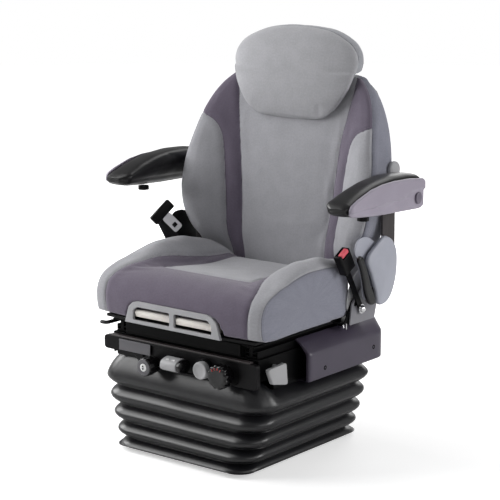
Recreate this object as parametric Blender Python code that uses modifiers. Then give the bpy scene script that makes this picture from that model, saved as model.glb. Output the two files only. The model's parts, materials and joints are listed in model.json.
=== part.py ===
"""Agricultural machine seat: booted scissor suspension, slide rails, cushion, reclining backrest.

Units are metres, +Z is up, the seat faces -Y and the origin is the centre of the base underside.
Sides are named as seen by someone sitting in the seat: the left side is at +X.
"""
import math

import bmesh
import bpy
import numpy as np
from mathutils import Matrix, Vector

# General clearances
SEAT_GAP = 0.0003
RUN_GAP = 0.001

# Base plate and its roller channels
BASE_HALF_W = 0.176
BASE_HALF_L = 0.2065
BASE_CORNER = 0.045
BASE_T = 0.003
MOUNT_X = 0.105
MOUNT_Y = 0.165
MOUNT_HOLE_R = 0.0055
CHANNEL_OUT = 0.165
CHANNEL_LIP = 0.015
CHANNEL_T = 0.0035
CHANNEL_END_GAP = 0.016

# Scissor linkage
RIDE_HEIGHT = 0.204
ARM_LEN = 0.340
ARM_W = 0.026
ARM_T = 0.006
ARM_SPLIT = 0.005
ARM_LIP_GAP = 0.001
ROLLER_R = 0.0135
ROLLER_W = 0.014
ROLLER_CLEAR = 0.0018
LINK_PIVOT_Y = 0.150
LINK_PIN_R = 0.007
LINK_TUBE_R = 0.009

# Rubber boot: half widths at the lowest and highest fold, and the pitch of its folds
BOOT_FOLDS = 5
BOOT_LOW_HALF_W = 0.205
BOOT_LOW_HALF_L = 0.238
BOOT_HIGH_HALF_W = 0.259
BOOT_HIGH_HALF_L = 0.229
BOOT_CORNER = 0.060
BOOT_FOOT_CORNER = 0.042
BOOT_FIRST_TIP = 0.012
BOOT_PITCH = 0.033
BOOT_PITCH_GROWTH = 0.002
BOOT_FOLD_DEPTH = 0.021
BOOT_WALL = 0.003
BOOT_FOOT_INSET = 0.002
BOOT_RIM_H = 0.004
BOOT_RIM_OUT = 0.005
BOOT_FRONT_RISE = 0.029
BOOT_FRONT_RUN = 0.045

# Air spring
AIR_SPRING_R = 0.060
AIR_PISTON_R = 0.040

# Upper frame
FRAME_HALF_W = 0.225
FRAME_HALF_L = 0.2035
FRAME_T = 0.004
FRAME_TOP = 0.286
FRAME_SKIRT = 0.0805

# Control panel and its controls
PANEL_HALF_W = 0.236
PANEL_T = 0.014
PANEL_H = 0.060
PANEL_LEFT_X = -0.118
PANEL_LEFT_H = 0.034
PANEL_SLOPE = 0.020
PANEL_LEDGE_HALF_W = 0.200
BOOT_PANEL_GAP = 0.003
PANEL_POCKET = 0.004
WELL_GAP = 0.0015
PANEL_POCKET_SIDE = 0.040
PANEL_POCKET_EDGE = 0.006
STRIP_H = 0.0035
RIDE_KNOB_X = -0.070
RIDE_KNOB_R = 0.0225
RIDE_KNOB_LEN = 0.048
KNOB_DROP = 0.047
ROCKER_X = 0.008
ROCKER_W = 0.060
ROCKER_H = 0.034
ROCKER_LEN = 0.032
ROCKER_DROP = 0.033
BUTTON_X = 0.083
BUTTON_R = 0.021
BUTTON_LEN = 0.022
BUTTON_TRAVEL = 0.006
BUTTON_DROP = 0.034
COLLAR_WALL = 0.003
DAMPER_X = 0.146
DAMPER_R = 0.030
DAMPER_LEN = 0.038
DAMPER_DROP = 0.036
DAMPER_RIBS = 12
TAB_T = 0.012
TAB_STANDOFF = 0.016

# Side covers
COVER_OUT = 0.036
COVER_RIDGE = 0.0665
COVER_RISE = 0.0995
COVER_FRONT_Y = -0.055
COVER_REAR_Y = 0.262
COVER_ROUND = 0.034
COVER_WALL = 0.0025

# Slide rails
RAIL_X = 0.200
RAIL_HALF_W = 0.018
RAIL_H = 0.018
RAIL_T = 0.002
RAIL_LIP = 0.009
LOWER_RAIL_HALF_L = 0.198
UPPER_RAIL_FRONT = -0.200
UPPER_RAIL_REAR = 0.165
UPPER_RAIL_H = 0.030
UPPER_STEM_HALF = 0.005
UPPER_FOOT_HALF = 0.0145
UPPER_FLANGE_HALF = 0.016

# Carriage
CARRIAGE_T = 0.003
CARRIAGE_HALF_W = 0.222
CARRIAGE_FRONT = -0.2085
CARRIAGE_REAR = 0.200
CARRIAGE_WING_Y = 0.092
LIP_HALF_W = 0.177
LIP_T = 0.003
RELEASE_ROD_R = 0.005

# Seat cushion and the pan, board, trim and handles under and in front of it
CUSHION_HALF_W = 0.250
CUSHION_FRONT = -0.246
CUSHION_REAR = 0.166
CUSHION_SIDE_REAR = 0.116
CUSHION_CENTRE_H = 0.110
CUSHION_CREST = 0.048
CUSHION_EDGE = 0.030
BOLSTER_REAR_FALL = 0.30
BOLSTER_START = 0.125
BOLSTER_CREST_X = 0.208
PAN_T = 0.003
PAN_LIFT = 0.0029
PAN_HALF_W = 0.236
EAR_T = 0.003
TILT_Y = 0.120
TILT_RISE = 0.042
TILT_PIN_R = 0.005
BOARD_T = 0.007
BOARD_SLIDE_GAP = 0.0005
TRIM_HALF_W = 0.147
TRIM_TOP_HALF_W = 0.106
TRIM_H = 0.055
TRIM_BAR = 0.007
TRIM_T = 0.008
TRIM_FRONT = -0.248
TRIM_WINDOW_OUT = 0.121
TRIM_WINDOW_H = 0.033
TRIM_WINDOW_LIFT = 0.008
TRIM_POST_HALF = 0.007
HANDLE_H = 0.019
HANDLE_LEN = 0.030
HANDLE_SIDE_GAP = 0.0025
HANDLE_DROP = 0.0065
HANDLE_PIVOT_BACK = 0.045
HANDLE_HUB_R = 0.0055

# Recliner and backrest
RECLINE_Y = 0.205
RECLINE_RISE = 0.115
RECLINE_PIN_R = 0.008
SIDE_PLATE_GAP = 0.012
SIDE_PLATE_X = CUSHION_HALF_W + SIDE_PLATE_GAP
SIDE_PLATE_T = 0.004
SIDE_HEAD_R = 0.026
ARM_PLATE_GAP = 0.024
ARM_PLATE_X = SIDE_PLATE_X + SIDE_PLATE_T + ARM_PLATE_GAP
ARM_PLATE_T = 0.005
BACK_BOTTOM = 0.438
BACK_TOP = 0.900
BACK_ARM_GAP = 0.005
BACK_HALF_W = ARM_PLATE_X - BACK_ARM_GAP
BACK_PLATE_GAP = 0.016
BACK_BOTTOM_HALF_W = SIDE_PLATE_X - BACK_PLATE_GAP
BACK_SHOULDER = 0.660
BACK_APEX = 0.930
BACK_REAR_Y = 0.238
BACK_TILT = math.radians(5.0)
FRAME_TUBE_R = 0.008
FRAME_TUBE_GAP = 0.0055
FRAME_TUBE_X = 0.170
FRAME_LOW_Z = 0.480
FRAME_MID_Z = 0.625
FRAME_HIGH_Z = 0.800
SHELL_T = 0.003
SHELL_INSET = 0.030
SHELL_DEPTH = 0.0225
HINGE_COVER_T = 0.020
LEVER_T = 0.010
LEVER_FORWARD = 0.067
LEVER_DROP = 0.054
LEVER_PIN_R = 0.0045
LEVER_LUG_R = 0.011
LUMBAR_Y = 0.238
LUMBAR_Z = 0.679
LUMBAR_R = 0.0215
LUMBAR_T = 0.0135

# Armrests
REST_OUT = 0.0505
REST_X = ARM_PLATE_X + REST_OUT
REST_HALF_W = 0.0405
REST_PIVOT_Y = 0.214
REST_PIVOT_Z = 0.623
REST_TIP_Y = -0.070
REST_REAR_Y = 0.247
REST_PIN_R = 0.009
REST_PIN_LEN = 0.020
REST_SHELL_T = 0.0085
REST_FLOOR_T = 0.010
REST_BOTTOM_Z = 0.600
REST_CAP_R = 0.012
REST_CAP_T = 0.003
WHEEL_Y = 0.040
WHEEL_R = 0.014
WHEEL_H = 0.010

# Head restraint
HEAD_GAP = 0.003
HEAD_REAR_STEP = 0.008
HEAD_PLATE_HALF_W = 0.045
HEAD_PLATE_T = 0.004
HEAD_PLATE_LOW_Z = 0.760
HEAD_UNDERSIDE = 0.906

# Seat belt
STALK_Y = 0.137
STALK_RISE = 0.035
STALK_T = 0.004
STALK_LEN = 0.112
STALK_W = 0.016
STALK_LEAN = math.radians(30.0)
BUCKLE_W = 0.042
BUCKLE_H = 0.056
BUCKLE_T = 0.022
SLOT_W = 0.028
SLOT_T = 0.0052
SLOT_DEPTH = 0.020
RETRACTOR_Y = 0.126
RETRACTOR_L = 0.060
RETRACTOR_H = 0.056
RETRACTOR_T = 0.0225
WEB_STANDOFF = 0.002
WEB_END_GAP = 0.0018
WEB_W = 0.046
WEB_T = 0.0025
TONGUE_T = 0.003
TONGUE_W = 0.026
TONGUE_LEN = 0.052
GRIP_Y = 0.020
GRIP_Z = 0.543
GRIP_LEN = 0.066
GRIP_W = 0.026
GRIP_T = 0.014
TONGUE_HEADING = 60.0
TONGUE_LEAN = 46.0

# Heights and places worked out from the sizes above
ROLLER_LOW_Z = BASE_T + ROLLER_CLEAR + ROLLER_R
ROLLER_HIGH_Z = ROLLER_LOW_Z + RIDE_HEIGHT
CHANNEL_HALF_H = ROLLER_R + ROLLER_CLEAR
LINK_REACH = math.sqrt(ARM_LEN ** 2 - RIDE_HEIGHT ** 2)
ROLLER_X = CHANNEL_OUT - CHANNEL_T - RUN_GAP - ROLLER_W / 2
CHANNEL_IN = CHANNEL_OUT - CHANNEL_T - CHANNEL_LIP
OUTER_ARM_X = CHANNEL_IN - ARM_LIP_GAP - ARM_T / 2
INNER_ARM_X = OUTER_ARM_X - ARM_T - ARM_SPLIT
FRAME_SKIRT_Z = FRAME_TOP - FRAME_SKIRT
PANEL_BACK = -FRAME_HALF_L - BOOT_RIM_OUT - BOOT_PANEL_GAP
PANEL_FRONT = PANEL_BACK - PANEL_T
BOOT_RIM_Z = FRAME_SKIRT_Z - SEAT_GAP
BOOT_FRONT_Z = BOOT_RIM_Z + BOOT_FRONT_RISE
PANEL_TOP = FRAME_TOP - SEAT_GAP - 0.005
RAIL_Z = FRAME_TOP + SEAT_GAP
CARRIAGE_Z = RAIL_Z + UPPER_RAIL_H + SEAT_GAP
CARRIAGE_TOP = CARRIAGE_Z + CARRIAGE_T
PAN_Z = CARRIAGE_TOP + PAN_LIFT
BOARD_Z = PAN_Z + PAN_T + BOARD_SLIDE_GAP
CUSHION_Z = BOARD_Z + BOARD_T + SEAT_GAP
TILT_Z = PAN_Z + TILT_RISE
RECLINE_Z = CARRIAGE_Z + RECLINE_RISE
TRIM_Z = BOARD_Z + 0.004
COVER_HALF_W = FRAME_HALF_W + SEAT_GAP + COVER_OUT

# Colours and surfaces: (red, green, blue), roughness, metallic
FINISHES = {
    "black_steel": ((0.020, 0.020, 0.022), 0.45, 0.6),
    "black_plastic": ((0.025, 0.024, 0.026), 0.50, 0.0),
    "rubber": ((0.030, 0.030, 0.034), 0.60, 0.0),
    "zinc_steel": ((0.55, 0.55, 0.56), 0.35, 1.0),
    "bright_steel": ((0.80, 0.80, 0.81), 0.20, 1.0),
    "dark_cover": ((0.085, 0.072, 0.090), 0.45, 0.0),
    "grey_plastic": ((0.33, 0.34, 0.37), 0.50, 0.0),
    "light_plastic": ((0.40, 0.36, 0.43), 0.45, 0.0),
    "handle_white": ((0.66, 0.64, 0.61), 0.40, 0.0),
    "grey_fabric": ((0.30, 0.31, 0.33), 0.95, 0.0),
    "pad_black": ((0.035, 0.032, 0.032), 0.55, 0.0),
    "button_red": ((0.80, 0.12, 0.16), 0.40, 0.0),
    "cap_white": ((0.85, 0.85, 0.84), 0.35, 0.0),
}

SEAT = bpy.data.collections.new("agricultural_machine_seat")
CUTTERS = bpy.data.collections.new("cutters")
PLANES = {
    "XY": Matrix(((1, 0, 0), (0, 1, 0), (0, 0, 1))),
    "YZ": Matrix(((0, 0, 1), (1, 0, 0), (0, 1, 0))),
    "XZ": Matrix(((1, 0, 0), (0, 0, -1), (0, 1, 0))),
}


def clear_scene():
    """Remove the objects that the file opened with and link the two collections."""
    for item in list(bpy.data.objects):
        bpy.data.objects.remove(item, do_unlink=True)
    for collection in (SEAT, CUTTERS):
        bpy.context.scene.collection.children.link(collection)


def finish(name):
    """Return the named material, made on its first use."""
    existing = bpy.data.materials.get(name)
    if existing:
        return existing
    colour, roughness, metallic = FINISHES[name]
    made = bpy.data.materials.new(name)
    made.use_nodes = True
    shader = made.node_tree.nodes["Principled BSDF"]
    shader.inputs["Base Color"].default_value = (*colour, 1.0)
    shader.inputs["Roughness"].default_value = roughness
    shader.inputs["Metallic"].default_value = metallic
    made.diffuse_color = (*colour, 1.0)
    return made


def new_object(name, mesh, look, smooth=False):
    """Link a mesh as a named object with its own material."""
    made = bpy.data.objects.new(name, mesh)
    SEAT.objects.link(made)
    mesh.materials.clear()
    mesh.materials.append(finish(look))
    if smooth:
        mesh.shade_smooth()
        mesh.set_sharp_from_angle(angle=math.radians(35))
    return made


def from_bmesh(name, shape, look, smooth=False):
    """Turn a bmesh into a named object."""
    mesh = bpy.data.meshes.new(name)
    bmesh.ops.recalc_face_normals(shape, faces=shape.faces)
    shape.to_mesh(mesh)
    shape.free()
    return new_object(name, mesh, look, smooth)


def box(name, low, high, look, bevel=0.0):
    """Box between two corners, with its edges rounded by a Bevel modifier."""
    shape = bmesh.new()
    bmesh.ops.create_cube(shape, size=1.0)
    size = Vector(high) - Vector(low)
    bmesh.ops.scale(shape, vec=size, verts=shape.verts)
    bmesh.ops.translate(shape, vec=(Vector(high) + Vector(low)) / 2, verts=shape.verts)
    made = from_bmesh(name, shape, look)
    if bevel:
        add_bevel(made, bevel)
    return made


def add_bevel(item, width, segments=2):
    """Round the sharp edges of an object."""
    modifier = item.modifiers.new("rounded_edges", "BEVEL")
    modifier.width = width
    modifier.segments = segments
    modifier.limit_method = "ANGLE"
    modifier.angle_limit = math.radians(50)


def cylinder(name, start, end, radius, look, segments=20):
    """Cylinder between two points."""
    start, end = Vector(start), Vector(end)
    axis = end - start
    shape = bmesh.new()
    bmesh.ops.create_cone(shape, cap_ends=True, segments=segments, radius1=radius,
                          radius2=radius, depth=axis.length)
    turn = Vector((0, 0, 1)).rotation_difference(axis).to_matrix()
    bmesh.ops.rotate(shape, cent=(0, 0, 0), matrix=turn, verts=shape.verts)
    bmesh.ops.translate(shape, vec=(start + end) / 2, verts=shape.verts)
    return from_bmesh(name, shape, look, smooth=True)


def bake(item):
    """Apply an object's modifiers and return the object."""
    graph = bpy.context.evaluated_depsgraph_get()
    mesh = bpy.data.meshes.new_from_object(item.evaluated_get(graph))
    item.modifiers.clear()
    item.data = mesh
    return item


def solid_from_curve(curve, name, look, smooth=False):
    """Turn a curve into a welded mesh object that can be cut and joined."""
    holder = bpy.data.objects.new(name + "_curve", curve)
    SEAT.objects.link(holder)
    bpy.context.view_layer.update()
    graph = bpy.context.evaluated_depsgraph_get()
    mesh = bpy.data.meshes.new_from_object(holder.evaluated_get(graph))
    shape = bmesh.new()
    shape.from_mesh(mesh)
    bmesh.ops.remove_doubles(shape, verts=shape.verts, dist=1e-6)
    if curve.dimensions == "2D":
        bmesh.ops.dissolve_limit(shape, angle_limit=math.radians(0.5), verts=shape.verts, edges=shape.edges)
    bpy.data.objects.remove(holder, do_unlink=True)
    bpy.data.meshes.remove(mesh)
    return from_bmesh(name, shape, look, smooth)


def plate(name, loops, low, high, plane, look, bevel=0.0):
    """Flat piece: closed outlines (the later ones are holes) between two levels of a plane's normal."""
    curve = bpy.data.curves.new(name, "CURVE")
    curve.dimensions = "2D"
    curve.fill_mode = "BOTH"
    curve.extrude = (high - low) / 2
    for loop in loops:
        spline = curve.splines.new("POLY")
        spline.points.add(len(loop) - 1)
        for point, (u, v) in zip(spline.points, loop):
            point.co = (u, v, 0.0, 1.0)
        spline.use_cyclic_u = True
    made = solid_from_curve(curve, name, look)
    turn = PLANES[plane]
    normal = turn @ Vector((0, 0, 1))
    level = (high + low) / 2
    shift = Vector([abs(part) * level for part in normal])
    made.data.transform(Matrix.Translation(shift) @ turn.to_4x4())
    if bevel:
        add_bevel(made, bevel)
    return made


def tube(name, points, radius, look, resolution=2):
    """Round bar along a list of points."""
    curve = bpy.data.curves.new(name, "CURVE")
    curve.dimensions = "3D"
    curve.bevel_depth = radius
    curve.bevel_resolution = resolution
    curve.use_fill_caps = True
    spline = curve.splines.new("POLY")
    spline.points.add(len(points) - 1)
    for point, place in zip(spline.points, points):
        point.co = (*place, 1.0)
    return solid_from_curve(curve, name, look, smooth=True)


def turned(name, profile, centre, axis, look, segments=24):
    """Turned piece: a (radius, height) profile, top to bottom, screwed about an axis."""
    mesh = bpy.data.meshes.new(name)
    places = [(radius, 0.0, height) for radius, height in profile]
    edges = [(index, index + 1) for index in range(len(places) - 1)]
    mesh.from_pydata(places, edges, [])
    made = new_object(name, mesh, look)
    screw = made.modifiers.new("turn", "SCREW")
    screw.steps = screw.render_steps = segments
    screw.use_merge_vertices = True
    screw.merge_threshold = 1e-5
    bake(made)
    turn = Vector((0, 0, 1)).rotation_difference(Vector(axis)).to_matrix().to_4x4()
    made.data.transform(Matrix.Translation(Vector(centre)) @ turn)
    made.data.materials.clear()
    made.data.materials.append(finish(look))
    made.data.shade_smooth()
    made.data.set_sharp_from_angle(angle=math.radians(35))
    return made


def loft(name, rings, look, smooth=True):
    """Closed solid through rings of equally many points, capped at both ends."""
    shape = bmesh.new()
    rows = [[shape.verts.new(point) for point in ring] for ring in rings]
    for row, following in zip(rows, rows[1:]):
        for index in range(len(row)):
            after = (index + 1) % len(row)
            shape.faces.new((row[index], row[after], following[after], following[index]))
    shape.faces.new(list(reversed(rows[0])))
    shape.faces.new(rows[-1])
    return from_bmesh(name, shape, look, smooth)


def cut(target, cutters, operation="DIFFERENCE"):
    """Cut or join an object with others; cutters stay hidden, joined pieces are removed."""
    for cutter in cutters:
        modifier = target.modifiers.new("shape", "BOOLEAN")
        modifier.operation = operation
        modifier.object = cutter
    bake(target)
    for cutter in cutters:
        if operation == "UNION":
            bpy.data.objects.remove(cutter, do_unlink=True)
            continue
        SEAT.objects.unlink(cutter)
        CUTTERS.objects.link(cutter)
        cutter.hide_render = True
        cutter.display_type = "WIRE"
    return target


def join(target, pieces):
    """Boolean union of a piece with others."""
    return cut(target, pieces, "UNION")


def pierce(target, loops, low, high, plane):
    """Cut a hole through a piece for each closed outline."""
    look = target.data.materials[0].name
    return cut(target, [plate(target.name + "_hole", [loop], low, high, plane, look) for loop in loops])


def mirrored(name, source):
    """Copy of a piece on the other side of the seat's middle plane."""
    made = source.copy()
    made.data = source.data.copy()
    made.name = name
    SEAT.objects.link(made)
    made.data.transform(Matrix.Scale(-1.0, 4, (1, 0, 0)))
    made.data.flip_normals()
    return made


def arc(centre, radius, start, end, steps):
    """Points of an arc; angles in degrees."""
    angles = np.radians(np.linspace(start, end, steps))
    return [(centre[0] + radius * math.cos(a), centre[1] + radius * math.sin(a)) for a in angles]


def circle(centre, radius, steps=16):
    """Points of a full circle."""
    return arc(centre, radius, 0.0, 360.0, steps + 1)[:-1]


def rounded(points, radius, steps=4):
    """Outline with each corner replaced by an arc, whose radius its sides limit."""
    outline = []
    count = len(points)
    for index, corner in enumerate(points):
        corner = Vector(corner)
        before = Vector(points[index - 1]) - corner
        after = Vector(points[(index + 1) % count]) - corner
        half = before.angle(after) / 2
        reach = min(radius / math.tan(half), before.length * 0.49, after.length * 0.49)
        start, end = corner + before.normalized() * reach, corner + after.normalized() * reach
        for step in range(steps + 1):
            t = step / steps
            outline.append(tuple(start * (1 - t) ** 2 + corner * 2 * t * (1 - t) + end * t ** 2))
    return outline


def stadium(start, end, radius, steps=7):
    """Outline of a bar with round ends."""
    heading = math.degrees(math.atan2(end[1] - start[1], end[0] - start[0]))
    return (arc(end, radius, heading - 90, heading + 90, steps)
            + arc(start, radius, heading + 90, heading + 270, steps))


def both_sides(half):
    """Outline from its right half, listed from the middle line round to the middle line."""
    return half + [(-u, v) for u, v in reversed(half) if u > 1e-9]


def smooth_step(value):
    """Rise from 0 to 1 with level ends."""
    t = np.clip(value, 0.0, 1.0)
    return t * t * (3.0 - 2.0 * t)


def through(value, knots):
    """Smooth curve through (position, value) knots, without overshoot."""
    places = np.array([knot[0] for knot in knots])
    values = np.array([knot[1] for knot in knots])
    slopes = np.gradient(values, places)
    index = int(np.clip(np.searchsorted(places, value) - 1, 0, len(places) - 2))
    span = places[index + 1] - places[index]
    t = float(np.clip((value - places[index]) / span, 0.0, 1.0))
    low, high = values[index], values[index + 1]
    rise, fall = slopes[index] * span, slopes[index + 1] * span
    return float(low * (1 + 2 * t) * (1 - t) ** 2 + rise * t * (1 - t) ** 2
                 + high * t ** 2 * (3 - 2 * t) + fall * t ** 2 * (t - 1))


def carried_by(name, place, pieces, parent=None):
    """Empty on a joint's axis that carries the pieces of one moving body."""
    holder = bpy.data.objects.new(name, None)
    holder.empty_display_size = 0.03
    SEAT.objects.link(holder)
    place = Vector(place)
    above = Vector(parent["axis_point"]) if parent else Vector((0, 0, 0))
    holder["axis_point"] = tuple(place)
    holder.parent = parent
    holder.location = place - above
    for piece in pieces:
        piece.parent = holder
        piece.location = piece.location - place
    return holder


def rounded_box_ring(half_w, half_l, corner, z, steps=5):
    """Ring of a rounded rectangle at one height."""
    corners = ((half_w - corner, half_l - corner, 0), (corner - half_w, half_l - corner, 90),
               (corner - half_w, corner - half_l, 180), (half_w - corner, corner - half_l, 270))
    ring = []
    for x, y, start in corners:
        ring += [(u, v, z) for u, v in arc((x, y), corner, start, start + 90, steps)]
    return ring


def channel_section(z, facing_up):
    """Angle section of a roller channel that stands on a plate, as (x, z) points for the +X side."""
    reach = CHANNEL_HALF_H + CHANNEL_T
    sign = 1.0 if facing_up else -1.0
    web_in, lip_in = CHANNEL_OUT - CHANNEL_T, CHANNEL_IN
    foot = z - sign * (CHANNEL_HALF_H + CHANNEL_T / 2)
    return [(CHANNEL_OUT, foot), (CHANNEL_OUT, z + sign * reach), (lip_in, z + sign * reach),
            (lip_in, z + sign * CHANNEL_HALF_H), (web_in, z + sign * CHANNEL_HALF_H), (web_in, foot)]


def build_base():
    """Base plate with fixing holes and the two lower roller channels."""
    outline = [(x, y) for x, y, _ in rounded_box_ring(BASE_HALF_W, BASE_HALF_L, BASE_CORNER, 0.0)]
    holes = [circle((sx * MOUNT_X, sy * MOUNT_Y), MOUNT_HOLE_R, 10) for sx in (1, -1) for sy in (1, -1)]
    made = plate("base_plate", [outline], 0.0, BASE_T, "XY", "black_steel")
    ends = BASE_HALF_L - CHANNEL_END_GAP
    section = channel_section(ROLLER_LOW_Z, True)
    left = plate("base_channel", [section], -ends, ends, "XZ", "black_steel")
    right = mirrored("base_channel_right", left)
    join(made, [left, right])
    return pierce(made, holes, -BASE_T, 2 * BASE_T, "XY")


def boot_size(t):
    """Half width, half length and height of the boot at t folds above its lowest fold tip."""
    share = t / (BOOT_FOLDS - 1)
    half_w = BOOT_LOW_HALF_W + (BOOT_HIGH_HALF_W - BOOT_LOW_HALF_W) * share
    half_l = BOOT_LOW_HALF_L + (BOOT_HIGH_HALF_L - BOOT_LOW_HALF_L) * share
    depth = BOOT_FOLD_DEPTH * (1.0 - abs(math.cos(math.pi * t)) ** 0.8)
    return half_w - depth, half_l - depth, BOOT_FIRST_TIP + BOOT_PITCH * t + BOOT_PITCH_GROWTH * t * t


def boot_lift(y, z, last_tip):
    """Height of a boot point: above its highest fold the skin climbs to a higher rim in front."""
    share = max(0.0, (z - last_tip) / (BOOT_RIM_Z - last_tip))
    start = FRAME_HALF_L + BOOT_RIM_OUT - BOOT_CORNER
    climb = float(smooth_step((-y - start) / BOOT_FRONT_RUN))
    return z + share * climb * BOOT_FRONT_RISE


def build_boot():
    """Folded rubber boot: an open skin through the fold tips and grooves, thickened inwards."""
    foot = (BASE_HALF_W - BOOT_FOOT_INSET + BOOT_WALL, BASE_HALF_L - BOOT_FOOT_INSET + BOOT_WALL,
            BASE_T + SEAT_GAP)
    rim = (FRAME_HALF_W, FRAME_HALF_L + BOOT_RIM_OUT, BOOT_RIM_Z)
    stations = [foot] + [boot_size(t / 4.0) for t in range(0, 4 * (BOOT_FOLDS - 1) + 1)]
    last = stations[-1]
    for share in (0.3, 0.65):
        blend = smooth_step(share) ** 0.9
        stations.append(tuple(a + (b - a) * (blend if axis < 2 else share)
                              for axis, (a, b) in enumerate(zip(last, rim))))
    stations += [(rim[0], rim[1], rim[2] - BOOT_RIM_H), rim]
    shape = bmesh.new()
    corners = [BOOT_FOOT_CORNER] + [BOOT_CORNER] * (len(stations) - 1)
    rows = [[shape.verts.new((x, y, boot_lift(y, height, last[2]))) for x, y, height
             in rounded_box_ring(w, l, corner, z)] for (w, l, z), corner in zip(stations, corners)]
    for row, following in zip(rows, rows[1:]):
        for index in range(len(row)):
            after = (index + 1) % len(row)
            shape.faces.new((row[index], row[after], following[after], following[index]))
    made = from_bmesh("boot", shape, "rubber", smooth=True)
    wall = made.modifiers.new("wall", "SOLIDIFY")
    wall.thickness = BOOT_WALL
    wall.offset = -1.0
    return made


def build_air_spring():
    """Rolling-lobe air spring between the base plate and the top of the upper frame."""
    low = BASE_T + SEAT_GAP
    high = FRAME_TOP - FRAME_T - SEAT_GAP
    rise = high - low
    lobe = [(AIR_SPRING_R, low + rise * share) for share in (0.80, 0.60, 0.48)]
    profile = ([(0.0, high), (AIR_SPRING_R * 0.8, high), (AIR_SPRING_R * 0.85, low + rise * 0.92)] + lobe
               + [(AIR_PISTON_R + 0.010, low + rise * 0.42), (AIR_PISTON_R * 0.9, low + rise * 0.46),
                  (AIR_PISTON_R, low + rise * 0.15), (AIR_PISTON_R * 1.1, low), (0.0, low)])
    return turned("air_spring", profile, (0, 0, 0), (0, 0, 1), "rubber", 20)


def scissor(name, arm_x, pivot_z, roller_z):
    """Pair of arms with cross tubes, end pins in the channels and rollers at the free ends."""
    pivot, roller = (LINK_PIVOT_Y, pivot_z), (LINK_PIVOT_Y - LINK_REACH, roller_z)
    pin_end = CHANNEL_OUT - CHANNEL_T - SEAT_GAP
    roller_in = ROLLER_X - ROLLER_W / 2
    bars = [stadium(pivot, roller, ARM_W / 2)]
    left = plate(name, bars, arm_x - ARM_T / 2, arm_x + ARM_T / 2, "YZ", "black_steel")
    right = mirrored(name + "_right", left)
    pieces = [right]
    for y, z in (pivot, roller):
        pieces.append(cylinder(name + "_tube", (-arm_x, y, z), (arm_x, y, z), LINK_TUBE_R, "black_steel", 14))
    for side in (1, -1):
        pieces.append(cylinder(name + "_pin", (side * arm_x, *pivot), (side * pin_end, *pivot),
                               LINK_PIN_R, "black_steel", 12))
        pieces.append(cylinder(name + "_axle", (side * arm_x, *roller), (side * ROLLER_X, *roller),
                               LINK_PIN_R, "black_steel", 12))
        pieces.append(cylinder(name + "_roller", (side * roller_in, *roller),
                               (side * (roller_in + ROLLER_W), *roller), ROLLER_R, "black_steel", 18))
    if arm_x > INNER_ARM_X:
        middle = ((pivot[0] + roller[0]) / 2, (pivot_z + roller_z) / 2)
        for side in (1, -1):
            pieces.append(cylinder(name + "_boss", (side * arm_x, *middle),
                                   (side * (INNER_ARM_X + ARM_T / 2 + SEAT_GAP), *middle),
                                   LINK_TUBE_R, "black_steel", 12))
    return join(left, pieces)


def build_upper_frame():
    """Upper frame: one pressed section with skirts and the two upper roller channels, closed behind."""
    inner_top = FRAME_TOP - FRAME_T
    skirt_in = FRAME_HALF_W - FRAME_T
    low, high = ROLLER_HIGH_Z - CHANNEL_HALF_H, ROLLER_HIGH_Z + CHANNEL_HALF_H
    web_in, lip_in = CHANNEL_OUT - CHANNEL_T, CHANNEL_IN
    half = [(0.0, FRAME_TOP), (FRAME_HALF_W, FRAME_TOP), (FRAME_HALF_W, FRAME_SKIRT_Z),
            (skirt_in, FRAME_SKIRT_Z), (skirt_in, inner_top), (CHANNEL_OUT, inner_top),
            (CHANNEL_OUT, low - CHANNEL_T), (lip_in, low - CHANNEL_T), (lip_in, low), (web_in, low),
            (web_in, high), (lip_in, high), (lip_in, high + CHANNEL_T), (web_in, high + CHANNEL_T),
            (web_in, inner_top), (0.0, inner_top)]
    outline = both_sides(half)
    made = plate("upper_frame", [outline], -FRAME_HALF_L, FRAME_HALF_L, "XZ", "black_steel")
    overlap = FRAME_T / 2
    rear = box("upper_frame_rear", (-skirt_in - overlap, FRAME_HALF_L - overlap, FRAME_SKIRT_Z),
               (skirt_in + overlap, FRAME_HALF_L + overlap, inner_top + overlap), "black_steel")
    join(made, [rear])
    notch_y = BOOT_CORNER - FRAME_HALF_L - BOOT_RIM_OUT + RUN_GAP
    notches = []
    for side in (1, -1):
        low_x, high_x = sorted((side * (CHANNEL_OUT + 0.005), side * (FRAME_HALF_W + 0.01)))
        notches.append(box("skirt_notch", (low_x, -FRAME_HALF_L - 0.01, FRAME_SKIRT_Z - 0.01),
                           (high_x, notch_y, BOOT_FRONT_Z + SEAT_GAP), "black_steel"))
    return cut(made, notches)


def panel_point(drop):
    """Height on the control panel measured down from its top."""
    return PANEL_TOP - drop


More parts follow.
